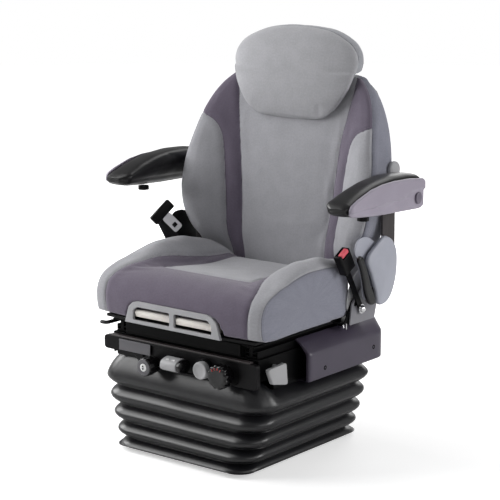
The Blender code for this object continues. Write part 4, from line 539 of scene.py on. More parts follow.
@dataclass(frozen=True)
class Finish:
    """A moulded, painted or metal surface with its grain, tone and light scuffs."""

    name: str
    colour: tuple[float, float, float]
    roughness: float = 0.5
    metallic: float = 0.0
    cells: float = 900.0
    depth: float = 0.00008
    tone: float = 0.08
    scuff: float = 0.10
    coat: float = 0.0
    specular: float = 0.5

    def material(self) -> bpy.types.Material:
        """The finish's material, made on its first use."""
        found = bpy.data.materials.get(self.name)
        if found:
            return found
        made = bpy.data.materials.new(self.name)
        self.wire(empty_wiring(made))
        made.diffuse_color = linear(self.colour)
        return made

    def wire(self, w: Wiring) -> None:
        """Adds the finish's nodes to an empty tree."""
        place = w.add("TexCoord").outputs["Object"]
        grain = w.add("Group", {"Vector": place, "Cells": self.cells}, node_tree=grain_group())
        base = np.array(linear(self.colour)[:3])
        dark = w.blend(w.spread(grain.outputs["Tone"], 0.3, 0.7, 0.0, 1.0),
                       (*(base * (1 - self.tone)), 1.0), (*np.minimum(base * (1 + self.tone), 1.0), 1.0))
        pale = (*np.minimum(base * 1.35 + 0.012, 1.0), 1.0)
        colour = w.blend(w.maths("MULTIPLY", grain.outputs["Scuff"], self.scuff), dark, pale)
        rough = w.weigh(grain.outputs["Tone"], 0.10, grain.outputs["Scuff"], 0.10)
        rough = w.maths("ADD", rough, self.roughness - 0.06, clamp=True)
        bump = w.add("Bump", {"Height": grain.outputs["Height"], "Distance": self.depth, "Strength": 1.0})
        self.shade(w, colour, rough, bump.outputs[0])

    def shade(self, w: Wiring, colour: object, rough: object, normal: object) -> None:
        """Adds the surface shader and the output."""
        shader = w.add("BsdfPrincipled", {"Base Color": colour, "Roughness": rough, "Normal": normal,
                                          "Metallic": self.metallic, "Coat Weight": self.coat,
                                          "Specular IOR Level": self.specular})
        w.add("OutputMaterial", {"Surface": shader.outputs[0]})


@dataclass(frozen=True)
class CoverFabric(Finish):
    """Woven cover with panels of three colours, told apart by the piece's own distance attributes."""

    band: tuple[float, float, float] = (106, 98, 113)
    gusset: tuple[float, float, float] = (134, 135, 147)
    pitch: float = 0.0016
    sheen: float = 0.25

    def wire(self, w: Wiring) -> None:
        """Adds the panels, the weave and the seams, with painted shade darkening the seam valleys."""
        flat = w.add("UVMap", uv_map="cloth").outputs[0]
        weave = w.add("Group", {"Vector": flat, "Pitch": self.pitch}, node_tree=weave_group())
        read = {label: w.add("Attribute", attribute_name=label).outputs["Fac"]
                for label in ("to_band", "to_gusset", "seam", "along")}
        seam = w.add("Group", {"Distance": read["seam"], "Along": read["along"]}, node_tree=seam_group())
        in_band = w.spread(read["to_band"], -0.0004, 0.0004, 1.0, 0.0)
        in_gusset = w.spread(read["to_gusset"], -0.0004, 0.0004, 1.0, 0.0)
        colour = w.blend(in_band, linear(self.colour), linear(self.band))
        colour = w.blend(in_gusset, colour, linear(self.gusset))
        shade = w.maths("ADD", w.spread(weave.outputs["Mottle"], 0.32, 0.68, 0.90, 1.06),
                        w.maths("MULTIPLY", weave.outputs["Thread"], 0.05))
        # painted shade: the seam valley darkens the cloth's colour by up to 42%, standing for the shade in
        # the sewn groove
        shade = w.maths("SUBTRACT", shade, w.maths("MULTIPLY", seam.outputs["Valley"], 0.42))
        shade = w.maths("ADD", shade, w.maths("MULTIPLY", seam.outputs["Stitch"], 0.10))
        tinted = w.add("VectorMath", {0: colour, 3: shade}, operation="SCALE").outputs[0]
        rough = w.spread(weave.outputs["Mottle"], 0.3, 0.7, 0.95, 0.82)
        height = w.maths("SUBTRACT", w.maths("MULTIPLY", weave.outputs["Height"], 0.10),
                         w.maths("MULTIPLY", seam.outputs["Valley"], 1.0))
        height = w.maths("ADD", height, w.maths("MULTIPLY", seam.outputs["Stitch"], 0.35))
        bump = w.add("Bump", {"Height": height, "Distance": 0.0012, "Strength": 0.9})
        shader = w.add("BsdfPrincipled", {"Base Color": tinted, "Roughness": rough,
                                          "Normal": bump.outputs[0], "Sheen Weight": self.sheen,
                                          "Sheen Roughness": 0.5, "Specular IOR Level": 0.25})
        w.add("OutputMaterial", {"Surface": shader.outputs[0]})


@dataclass(frozen=True)
class Webbing(Finish):
    """Seat belt webbing: a coarser weave, turned against the strap."""

    def wire(self, w: Wiring) -> None:
        """Adds the weave on the object's own coordinates."""
        place = w.add("TexCoord").outputs["Object"]
        turned = w.add("Mapping", {"Vector": place, "Rotation": (0.5, 0.7, 0.8)}).outputs[0]
        weave = w.add("Group", {"Vector": turned, "Pitch": 0.0022}, node_tree=weave_group())
        base = np.array(linear(self.colour)[:3])
        colour = w.blend(weave.outputs["Thread"], (*(base * 0.7), 1.0), (*(base * 1.5), 1.0))
        rough = w.spread(weave.outputs["Mottle"], 0.3, 0.7, 0.78, 0.62)
        bump = w.add("Bump", {"Height": weave.outputs["Height"], "Distance": 0.0004, "Strength": 1.0})
        self.shade(w, colour, rough, bump.outputs[0])


SEAT_FABRIC = CoverFabric("seat_fabric", (166, 166, 171), 0.9)
HEAD_FABRIC = CoverFabric("head_fabric", (172, 172, 176), 0.9, gusset=(160, 161, 167))
PAD_VINYL = Finish("arm_pad_vinyl", (12, 11, 13), 0.33, cells=700, depth=0.00010, tone=0.12, scuff=0.12,
                   specular=0.4)
BOOT_RUBBER = Finish("boot_rubber", (20, 20, 23), 0.34, cells=380, depth=0.00010, tone=0.14, scuff=0.12,
                     specular=0.55)
BLACK_PLASTIC = Finish("black_moulding", (13, 12, 14), 0.42, cells=1100, depth=0.00006, scuff=0.05,
                       specular=0.15)
GLOSS_PLASTIC = Finish("gloss_black_moulding", (13, 12, 14), 0.24, cells=500, depth=0.00003, coat=0.15,
                       specular=0.4)
BLACK_STEEL = Finish("painted_steel", (7, 7, 8), 0.42, cells=260, depth=0.00008, scuff=0.06, specular=0.08)
BRIGHT_STEEL = Finish("bright_steel", (205, 204, 206), 0.28, 1.0, cells=500, depth=0.00004, tone=0.05)
# painted reflection: the tongue's near-white base colour, with only a little metallic, stands for the white
# studio reflected in its chrome
CHROME_PAINTED_REFLECTION = Finish("chromed_tongue", (246, 246, 248), 0.18, 0.15, cells=300, depth=0.00002, tone=0.03)
COVER_PLASTIC = Finish("dark_cover_moulding", (68, 62, 76), 0.36, cells=1300, depth=0.00006, tone=0.06)
GREY_PLASTIC = Finish("grey_moulding", (168, 168, 170), 0.45, cells=1200, depth=0.00005, tone=0.04)
COOL_PLASTIC = Finish("hinge_cover_moulding", (168, 170, 181), 0.42, cells=1300, depth=0.00005, tone=0.04)
SHELL_PLASTIC = Finish("arm_shell_moulding", (158, 151, 165), 0.40, cells=1300, depth=0.00005, tone=0.04)
TRIM_PLASTIC = Finish("trim_moulding", (172, 172, 175), 0.46, cells=1300, depth=0.00005, tone=0.04)
HANDLE_PLASTIC = Finish("handle_moulding", (234, 229, 222), 0.36, cells=1300, depth=0.00004, tone=0.04)
CAP_PLASTIC = Finish("cap_moulding", (112, 105, 119), 0.35, cells=900, depth=0.00004)
PLATE_STEEL = Finish("recliner_plate", (128, 127, 133), 0.42, cells=240, depth=0.00008, scuff=0.15)
DARK_METAL = Finish("dark_metal", (98, 97, 101), 0.36, 0.3, cells=300, depth=0.00005, scuff=0.15)
BRACKET_STEEL = Finish("bracket_steel", (52, 46, 47), 0.42, cells=240, depth=0.00010, scuff=0.2)
RED_PLASTIC = Finish("release_red", (222, 84, 98), 0.34, cells=900, depth=0.00003, tone=0.05)
RED_MARK = Finish("red_mark", (190, 60, 60), 0.40, cells=900, depth=0.00002)
WHITE_MARK = Finish("white_mark", (238, 238, 238), 0.40, cells=900, depth=0.00002, tone=0.03)
BELT_WEB = Webbing("belt_webbing_cloth", (26, 25, 28), 0.7, specular=0.3)


# ---------------------------------------------------------------- soft pieces


@dataclass
class SoftShell:
    """Closed cover over a foam: a grid of points with flat cloth coordinates and panel distances."""

    name: str
    points: Array
    faces: list[list[int]]
    cloth: Array
    fields: dict[str, Array]
    held: Array

    def make(self, body: str, finish: Finish, swell: float, groove: float, fill: float,
             pressure: float = 4.0) -> bpy.types.Object:
        """Makes the piece, lets its cover billow between the held points, then sews its seams.

        Args:
            body: CAD body that carries it.
            finish: cover material.
            swell: most that a point may move in the cloth simulation.
            groove: depth of the seams.
            fill: how tight the pad is, from 0 to 1; not used.
            pressure: air pressure inside the cover.

        Returns:
            The finished object.
        """
        mesh = bpy.data.meshes.new(self.name)
        mesh.from_pydata(self.points.tolist(), [], self.faces)
        loops = np.zeros(len(mesh.loops), np.int32)
        mesh.loops.foreach_get("vertex_index", loops)
        chart = mesh.uv_layers.new(name="cloth")
        chart.data.foreach_set("uv", self.cloth[loops].astype(np.float32).ravel())
        for label, values in self.fields.items():
            store = mesh.attributes.new(label, "FLOAT", "POINT")
            store.data.foreach_set("value", values.astype(np.float32))
        smooth_faces(mesh)
        piece = placed(self.name, mesh)
        self.turn_outward(mesh)
        self.billow(piece, swell, pressure)
        self.refine(piece)
        self.sew(piece.data, groove)
        piece.data.materials.append(finish.material())
        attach(piece, body)
        LOG.info("soft piece %s: %d faces on %s", self.name, len(piece.data.polygons), body)
        return piece

    @staticmethod
    def turn_outward(mesh: bpy.types.Mesh) -> None:
        """Turns all faces outward: the enclosed volume, the sum of p · area normal, is above 0."""
        shape = bmesh.new()
        shape.from_mesh(mesh)
        if shape.calc_volume(signed=True) < 0:
            bmesh.ops.reverse_faces(shape, faces=shape.faces)
        shape.to_mesh(mesh)
        shape.free()

    def billow(self, piece: bpy.types.Object, swell: float, pressure: float) -> None:
        """Runs the cloth with air pressure, and limits each point's way to the swell."""
        group = piece.vertex_groups.new(name="held")
        group.add(np.flatnonzero(self.held).tolist(), 1.0, "REPLACE")
        cover = piece.modifiers.new("cover", "CLOTH")
        values = cover.settings
        values.quality = 5
        values.mass = 0.3
        values.tension_stiffness = values.compression_stiffness = 14.0
        values.shear_stiffness = 6.0
        values.bending_stiffness = 0.8
        values.vertex_group_mass = "held"
        values.use_pressure = True
        values.uniform_pressure_force = pressure
        values.effector_weights.gravity = 0.0
        cover.point_cache.frame_start, cover.point_cache.frame_end = 1, 20
        scene = bpy.context.scene
        for number in range(1, 21):
            scene.frame_set(number)
        seen = piece.evaluated_get(bpy.context.evaluated_depsgraph_get())
        moved = np.zeros(len(self.points) * 3, np.float32)
        seen.data.vertices.foreach_get("co", moved)
        piece.modifiers.remove(cover)
        piece.vertex_groups.clear()
        scene.frame_set(1)
        step = moved.reshape(-1, 3) - self.points
        length = np.linalg.norm(step, axis=1, keepdims=True)
        step *= np.minimum(1.0, swell / np.maximum(length, 1e-9))
        piece.data.vertices.foreach_set("co", (self.points + step).astype(np.float32).ravel())
        piece.data.update()
        LOG.info("cover %s moved up to %.1f mm", self.name,
                 1000 * float(np.linalg.norm(step, axis=1).max()))

    @staticmethod
    def refine(piece: bpy.types.Object) -> None:
        """Applies one subdivision, which carries the cloth map and the distances along."""
        level = piece.modifiers.new("fine", "SUBSURF")
        level.levels = level.render_levels = 1
        level.use_limit_surface = False
        level.uv_smooth = "NONE"
        seen = piece.evaluated_get(bpy.context.evaluated_depsgraph_get())
        finer = bpy.data.meshes.new_from_object(seen)
        piece.modifiers.remove(level)
        piece.data = finer

    @staticmethod
    def sew(mesh: bpy.types.Mesh, groove: float) -> None:
        """Moves points along their normals: -g·exp(-(d/4mm)^2) in the seam, +0.3g beside it."""
        count = len(mesh.vertices)
        place, normal = np.zeros(count * 3, np.float32), np.zeros(count * 3, np.float32)
        mesh.vertices.foreach_get("co", place)
        mesh.vertices.foreach_get("normal", normal)
        gap = np.zeros(count, np.float32)
        mesh.attributes["seam"].data.foreach_get("value", gap)
        swollen = 0.3 * groove * np.exp(-((gap - 0.014) / 0.008) ** 2)
        move = -groove * np.exp(-(gap / 0.004) ** 2) + swollen
        mesh.vertices.foreach_set("co", place + normal * np.repeat(move, 3).astype(np.float32))
        mesh.update()


@dataclass
class Cushion:
    """Seat cushion: hollow middle, raised side bolsters, dark front and band, side gussets."""

    low: float = 0.3348
    half_w: float = 0.250
    front: float = -0.246
    rear: float = 0.166
    height: float = 0.110
    crest: float = 0.048
    crest_x: float = 0.208
    edge: float = 0.030
    start: float = 0.130
    dip: float = 0.009
    corner_out: float = 0.022
    columns: int = 84
    rows: int = 176
    centre_seam: tuple = ((0.0, -0.1165), (0.070, -0.118), (0.112, -0.118), (0.137, -0.114),
                          (0.128, -0.085), (0.121, -0.03), (0.117, 0.05), (0.121, 0.150))
    band_seam: tuple = ((0.211, -0.237), (0.214, -0.2459), (0.214, -0.236), (0.207, -0.205),
                        (0.198, -0.178), (0.181, -0.13), (0.166, -0.07), (0.152, 0.0), (0.143, 0.07),
                        (0.140, 0.150))

    def ring(self, x: Array) -> Array:
        """Outline of the cushion in the Y-Z plane at each x, from the nose round to the bottom rear.

        The bolster rises smoothly past |x| = start to the crest and falls as a parabola to the edge;
        it fades in behind the nose and falls by 30% towards the rear.

        Args:
            x: positions across the seat, shape (n,).

        Returns:
            Knots of shape (n, k, 2).
        """
        side = np.abs(x)
        swell = smooth((side - self.start) / (self.crest_x - self.start)) * self.crest
        swell -= (self.crest - self.edge) * np.clip((side - self.crest_x) / (self.half_w - self.crest_x),
                                                    0, 1) ** 2
        front = self.front + 0.013 * (side / self.half_w) ** 4
        rear = self.rear - 0.05 * smooth((side - 0.15) / 0.10)

        def lift(y: Array) -> Array:
            """Share of the bolster at a depth."""
            return smooth((y + 0.216) / 0.190) * (1 - 0.30 * smooth((y - 0.036) / 0.080))

        nose = np.array([(0.012, 0.004), (0.003, 0.016), (0.0, 0.045), (0.003, 0.066), (0.014, 0.086),
                         (0.034, 0.100), (0.070, 0.108)])
        y = front[:, None] + nose[None, :, 0]
        z = self.low + nose[None, :, 1] + swell[:, None] * lift(y)
        steps = np.array([0.28, 0.40, 0.52, 0.64, 0.75, 0.85, 0.93])
        along = front[:, None] + (rear - front)[:, None] * steps
        dip = self.dip * smooth((steps[None] - 0.30) / 0.35) * (1 - smooth((side[:, None] - 0.11) / 0.05))
        top = self.low + self.height - 0.009 * steps[None] - dip + swell[:, None] * lift(along)
        crown = top[:, -1]
        back_y = np.stack([rear - 0.010, rear - 0.001, rear, rear, rear - 0.008], 1)
        drop = crown - self.low
        back_z = np.stack([crown - 0.007, crown - 0.022, self.low + 0.45 * drop,
                           np.full_like(crown, self.low + 0.012), np.full_like(crown, self.low)], 1)
        under = np.array([0.85, 0.6, 0.35, 0.12])
        base_y = front[:, None] + 0.012 + (rear - front - 0.02)[:, None] * under
        base_z = np.full_like(base_y, self.low)
        return np.stack([np.concatenate([y, along, back_y, base_y], 1),
                         np.concatenate([z, top, back_z, base_z], 1)], -1)

    def shell(self) -> SoftShell:
        """Carries the outline across the seat, closes both sides with a slightly domed gusset."""
        x = self.half_w * np.sin(np.linspace(-1, 1, self.columns) * np.pi / 2 * 0.86) \
            / math.sin(np.pi / 2 * 0.86)
        knots = self.ring(x)
        middle = knots[self.columns // 2]
        t = even_parameters(middle, self.rows, closed=True)
        loop = catmull(knots, t, closed=True)
        points = np.concatenate([np.broadcast_to(x[:, None, None], loop.shape[:2] + (1,)), loop], -1)
        path = catmull(middle, t, closed=True)
        run = lengths_along(path)
        u = np.broadcast_to(x[:, None], loop.shape[:2])
        v = np.broadcast_to(run[None], loop.shape[:2])
        shares = np.array([0.955, 0.90, 0.83, 0.75, 0.66, 0.56, 0.45, 0.33, 0.20, 0.08])
        bulge = 0.007 * (1 - shares**4)

        right = closing_rings(points[0], shares, 0, -bulge)
        left = closing_rings(points[-1], shares, 0, bulge)
        cap_u = np.broadcast_to(self.half_w + (1 - shares)[:, None] * 0.07, (len(shares), len(run)))
        grid = np.concatenate([right[::-1], points, left])
        arch = np.interp(np.abs(grid[..., 0]), (0.0, .106, .1216, .1347, .147, .155),
                         (.385, .385, .381, .369, .330, .300))
        behind = smooth((arch - 0.003 - grid[..., 2]) / 0.008) * (grid[..., 1] < -0.15)
        grid[..., 1] += behind * np.maximum(0.0, -0.198 - grid[..., 1])
        recess = (behind > 0.01).ravel()
        grid[..., 0] *= 1 + self.corner_out * smooth((-0.06 - grid[..., 1]) / 0.14)
        flat_u = np.concatenate([-cap_u[::-1], u, cap_u])
        end_run = np.broadcast_to(run, cap_u.shape)
        flat_v = np.concatenate([end_run, v, end_run])
        rows, cols = grid.shape[:2]
        cloth = np.stack([flat_u.ravel(), flat_v.ravel()], 1)
        on_top = int(np.argmax(path[:, 0]))

        def unroll(seam: Sequence[Sequence[float]]) -> Array:
            """Turns (x, y) seam knots into flat coordinates by the length along the middle outline."""
            pairs = np.array(seam, float)
            order = slice(int(np.argmin(path[:, 0])), on_top)
            return np.stack([pairs[:, 0], np.interp(pairs[:, 1], path[order, 0], run[order])], 1)

        sharp_front = unroll(self.centre_seam[:4])
        centre = np.vstack([curve_through(sharp_front.tolist(), 14),
                            curve_through(unroll(self.centre_seam[3:]).tolist(), 30)])
        band = unroll(self.band_seam)
        band[0, 1], band[1, 1] = 0.0, 0.035
        outer = curve_through(band.tolist(), 60)
        end_v = run[on_top]
        centre_ring = with_mirror(np.vstack([centre, (centre[-1, 0], end_v + 0.1), (0.0, end_v + 0.1)]))
        outer_ring = with_mirror(np.vstack([(0.0, -0.02), (outer[0, 0], -0.02), outer,
                                            (outer[-1, 0], end_v + 0.1), (0.0, end_v + 0.1)]))
        to_centre = signed_distance(cloth, centre_ring)
        to_outer = signed_distance(cloth, outer_ring)
        to_gusset = self.half_w - np.abs(cloth[:, 0])
        lines = [centre, centre * (-1, 1), outer, outer * (-1, 1)]
        found = [nearest_on_path(cloth, line) for line in lines]
        near, along_seam = nearest_seam([gap for gap, _ in found] + [np.abs(to_gusset)],
                                        [length for _, length in found] + [cloth[:, 1]])
        bottom = (cloth[:, 1] > run[on_top] + 0.11) | (cloth[:, 1] < 0.004)
        seam = np.where(bottom, NO_SEAM, near)
        held = (seam < SEWN) | bottom | (np.abs(cloth[:, 0]) > self.half_w + 0.055)
        held |= (cloth[:, 1] > run[on_top] + 0.012) | recess
        fields = {"to_band": np.maximum(to_outer, -to_centre), "to_gusset": to_gusset, "seam": seam,
                  "along": along_seam}
        return SoftShell("cushion_cover", grid.reshape(-1, 3), tube_faces(rows, cols), cloth, fields, held)

    def build(self) -> None:
        """Makes the cushion cover in the place of its solid."""
        piece = self.shell().make("cushion", SEAT_FABRIC, swell=0.0045, groove=0.0024, fill=0.85)
        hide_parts("cushion")


@dataclass
class Backrest:
    """Backrest cover: light middle and bolsters, dark band and shoulders, blue-grey side gusset."""

    bottom: float = 0.408
    top: float = 0.896
    rows: int = 80
    columns: int = 224
    inner_seam: tuple = ((0.124, 0.395), (0.126, 0.435), (0.130, 0.480), (0.144, 0.62), (0.156, 0.73),
                         (0.171, 0.82), (0.178, 0.87), (0.178, 0.93))
    outer_seam: tuple = ((0.155, 0.395), (0.160, 0.435), (0.168, 0.50), (0.182, 0.62), (0.190, 0.69),
                         (0.200, 0.735), (0.219, 0.762), (0.245, 0.776), (0.275, 0.787), (0.320, 0.800))
    gusset_step: float = 0.008

    @staticmethod
    def rear_at(z: Array) -> Array:
        """Rear face: a plane that leans back by 5 degrees."""
        return 0.238 + (z - 0.450) * math.tan(math.radians(5.0))

    @staticmethod
    def centre_at(z: Array) -> Array:
        """Front face on the middle line."""
        return np.interp(z, (.438, .480, .560, .640, .740, .820, .900),
                         (.183, .178, .192, .200, .205, .222, .246))

    @staticmethod
    def edge_at(z: Array) -> Array:
        """Front of the side bolsters."""
        return np.interp(z, (.438, .470, .520, .600, .680, .740, .790, .850, .900),
                         (.172, .137, .118, .120, .140, .159, .180, .212, .246))

    @staticmethod
    def half_width(z: Array) -> Array:
        """Half width: widens to 285 mm, closes over the shoulders as (1 - u^2)^0.265, tapers at the top."""
        u = np.clip((z - 0.66) / 0.27, 0.0, 0.995)
        closing = 1 - 0.075 * np.clip((z - 0.86) / 0.036, 0, 1) ** 2
        return (0.246 + 0.039 * smooth((z - 0.438) / 0.150)) * (1 - u**2) ** 0.265 * closing

    def section(self, z: Array) -> Array:
        """Closed outline in the X-Y plane at each height, from the front middle round the +X side.

        Args:
            z: heights, shape (n,).

        Returns:
            Knots of shape (n, k, 2).
        """
        wide, centre, edge, rear = (f(z) for f in (self.half_width, self.centre_at, self.edge_at,
                                                   self.rear_at))
        edge = np.minimum(edge, rear - 0.03)
        start = 0.9 * (0.128 + 0.10 * (z - 0.45))
        across = np.array([0.0, 0.15, 0.30, 0.45, 0.58, 0.68, 0.76, 0.84, 0.90, 0.945])
        x = wide[:, None] * across
        rise = smooth((x - start[:, None]) / (0.93 * wide - start)[:, None])
        y = centre[:, None] + (edge - centre)[:, None] * rise
        nose = 0.010 * smooth((z - 0.45) / 0.06) * smooth((0.76 - z) / 0.12)
        round_x = np.stack([wide * 0.978 + nose, wide + nose, wide, wide - 0.004, wide - 0.018, wide * 0.8,
                            wide * 0.4], 1)
        round_y = np.stack([edge + 0.005, edge + 0.020, (edge + rear) / 2, rear - 0.018, rear - 0.003,
                            rear, rear], 1)
        half = np.stack([np.concatenate([x, round_x], 1), np.concatenate([y, round_y], 1)], -1)
        last = np.stack([np.zeros_like(rear), rear], -1)[:, None]
        other = half[:, 1:][:, ::-1] * (-1, 1)
        return np.concatenate([half, last, other], 1)

    @staticmethod
    def softened(column: Array) -> Array:
        """Running mean of nine values, with both ends continued by point reflection."""
        return np.convolve(np.pad(column, 4, mode="reflect", reflect_type="odd"), np.ones(9) / 9, "valid")

    def shell(self) -> SoftShell:
        """Stacks the outlines up the back, and closes the top and the bottom with rounded rings."""
        z = np.linspace(self.bottom + 0.010, self.top - 0.008, self.rows)
        knots = self.section(z)
        t = even_parameters(knots[self.rows // 2], self.columns, closed=True)
        loop = catmull(knots, t, closed=True)
        loop = np.apply_along_axis(self.softened, 0, loop)
        points = np.concatenate([loop, np.broadcast_to(z[:, None, None], loop.shape[:2] + (1,))], -1)
        path = loop[self.rows // 2]
        run = lengths_along(path)
        total = run[-1] + np.linalg.norm(path[0] - path[-1])
        shares = np.array([0.985, 0.955, 0.90, 0.82, 0.70, 0.55, 0.38, 0.2])
        drops = np.array([0.003, 0.0065, 0.0085, 0.0095, 0.010, 0.010, 0.010, 0.010])

        low = closing_rings(points[0], shares, 2, -drops)
        high = closing_rings(points[-1], shares, 2, drops * 0.8)
        grid = np.concatenate([low[::-1], points, high])
        rows, cols = grid.shape[:2]
        centred = np.where(run > total / 2, run - total, run)
        flat_u = np.broadcast_to(centred[None], (rows, cols)).ravel()
        steps = np.cumsum(np.full(len(shares), 0.01))
        reach = np.concatenate([low[::-1, :, 2].mean(1) - steps[::-1], z, high[..., 2].mean(1) + steps])
        flat_v = np.repeat(reach, cols)
        cloth = np.stack([flat_u, flat_v], 1)
        flat = grid.reshape(-1, 3)
        seen = np.stack([flat[:, 0], flat[:, 2]], 1)
        inner = curve_through(self.inner_seam, 60)
        outer = curve_through(self.outer_seam, 60)
        ring = np.vstack([inner, (0.178, 1.0), (0.5, 1.0), (0.5, 0.80), outer[::-1]])
        to_band = signed_distance(np.abs(seen), ring)
        wide = self.half_width(flat[:, 2])
        seam_y = self.edge_at(flat[:, 2]) + self.gusset_step
        to_gusset = np.maximum(seam_y - flat[:, 1], 0.93 * wide - np.abs(flat[:, 0]))
        to_gusset = np.minimum(to_gusset, self.rear_at(flat[:, 2]) - 0.014 - flat[:, 1])
        front = to_gusset > 0
        side_seen = np.stack([np.abs(seen[:, 0]), seen[:, 1]], 1)
        found = [nearest_on_path(side_seen, line) for line in (inner, outer)]
        seam, along = nearest_seam([np.where(front, gap, NO_SEAM) for gap, _ in found] + [np.abs(to_gusset)],
                                   [length for _, length in found] + [flat[:, 2]])
        rear = flat[:, 1] > self.rear_at(flat[:, 2]) - 0.012
        ends = np.zeros((rows, cols), bool)
        ends[:len(shares) + 2], ends[-len(shares) - 2:] = True, True
        held = (seam < SEWN) | rear | ends.ravel()
        fields = {"to_band": to_band, "to_gusset": to_gusset, "seam": seam, "along": along}
        return SoftShell("backrest_cover", flat, tube_faces(rows, cols), cloth, fields, held)

    def build(self) -> None:
        """Makes the backrest cover in the place of its solid."""
        piece = self.shell().make("backrest", SEAT_FABRIC, swell=0.006, groove=0.0024, fill=0.85)
        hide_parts("backrest")


@dataclass
class HeadRestraint:
    """Head restraint: a broad front panel over the top of the backrest, with a rear gusset."""

    lower: tuple = ((.787, .080, .206), (.793, .103, .199), (.812, .132, .194), (.836, .152, .193),
                    (.862, .168, .194), (.886, .178, .196), (.9025, .183, .197))
    upper: tuple = ((.906, .184, .198, 1.0), (.925, .188, .200, 1.0), (.950, .182, .204, 1.0),
                    (.972, .163, .210, .99), (.990, .130, .220, .96), (1.002, .092, .232, .90),
                    (1.008, .045, .246, .78))
    power: float = 3.2
    front_depth: float = 0.024
    rows: int = 64
    columns: int = 132

    def shell(self) -> SoftShell:
        """Superellipse outlines stacked up the head restraint, closed at both poles."""
        low, high = np.array(self.lower), np.array(self.upper)
        low_rear = Backrest.centre_at(low[:, 0]) - 0.003
        high_rear = high[:, 2] + (Backrest.rear_at(high[:, 0]) + 0.008 - high[:, 2]) * high[:, 3]
        z = np.concatenate([low[:, 0], high[:, 0]])
        wide = np.concatenate([low[:, 1], high[:, 1]])
        front = np.concatenate([low[:, 2], high[:, 2]])
        rear = np.concatenate([low_rear, high_rear])
        knots = np.stack([z, wide, front], 1)
        t = even_parameters(knots * (1.0, 0.6, 1.0), self.rows)
        smooth_rows = catmull(knots, t)
        back = np.interp(t, np.arange(len(rear)), rear)
        z, wide, front = smooth_rows.T
        theta = np.linspace(-np.pi / 2, 3 * np.pi / 2, self.columns, endpoint=False)
        cx, cy = superellipse(theta, 2 / self.power, 2 / self.power)
        x = wide[:, None] * cx[None]
        reach = self.front_depth + 0.017 * smooth((z - 0.80) / 0.19)
        half = np.minimum(0.5 * (back - front), reach)[:, None]
        middle = front[:, None] + half
        y = middle + np.where(cy[None] < 0, half, back[:, None] - middle) * cy[None]
        rise = np.sin(np.pi * np.clip((z - 0.79) / 0.21, 0, 1))[:, None]
        crown = -0.006 * (1 - (x / 0.19) ** 2) * rise
        y = y + crown * (cy[None] < 0) * np.abs(cy[None])
        points = np.stack([x, y, np.broadcast_to(z[:, None], x.shape)], -1)
        shares = np.array([0.9, 0.75, 0.55, 0.3])

        arc = 1 - shares**2
        grid = np.concatenate([closing_rings(points[0], shares, 2, -0.003 * arc)[::-1], points,
                               closing_rings(points[-1], shares, 2, 0.0012 * arc)])
        rows, cols = grid.shape[:2]
        flat = grid.reshape(-1, 3)
        cloth = np.stack([flat[:, 0] + 0.3 * (flat[:, 1] - 0.24),
                          flat[:, 2] + 0.5 * (flat[:, 1] - 0.2)], 1)
        crease = np.interp(flat[:, 2], (0.80, 0.90, 0.93, 0.96, 0.985, 1.0, 1.01),
                           (0.219, 0.228, 0.234, 0.237, 0.240, 0.246, 0.252))
        to_gusset = crease - flat[:, 1]
        seam = np.abs(to_gusset)
        rear = flat[:, 1] > Backrest.rear_at(flat[:, 2]) - 0.002
        held = (seam < 0.003) | rear | (flat[:, 2] < 0.795)
        fields = {"to_band": np.full(len(flat), NO_SEAM), "to_gusset": to_gusset, "seam": seam,
                  "along": flat[:, 0] + flat[:, 2]}
        return SoftShell("headrest_cover", flat, tube_faces(rows, cols), cloth, fields, held)

    def build(self) -> None:
        """Makes the cover of the head restraint in the place of its solid."""
        piece = self.shell().make("headrest", HEAD_FABRIC, swell=0.005, groove=0.0016, fill=0.8)
        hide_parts("headrest")


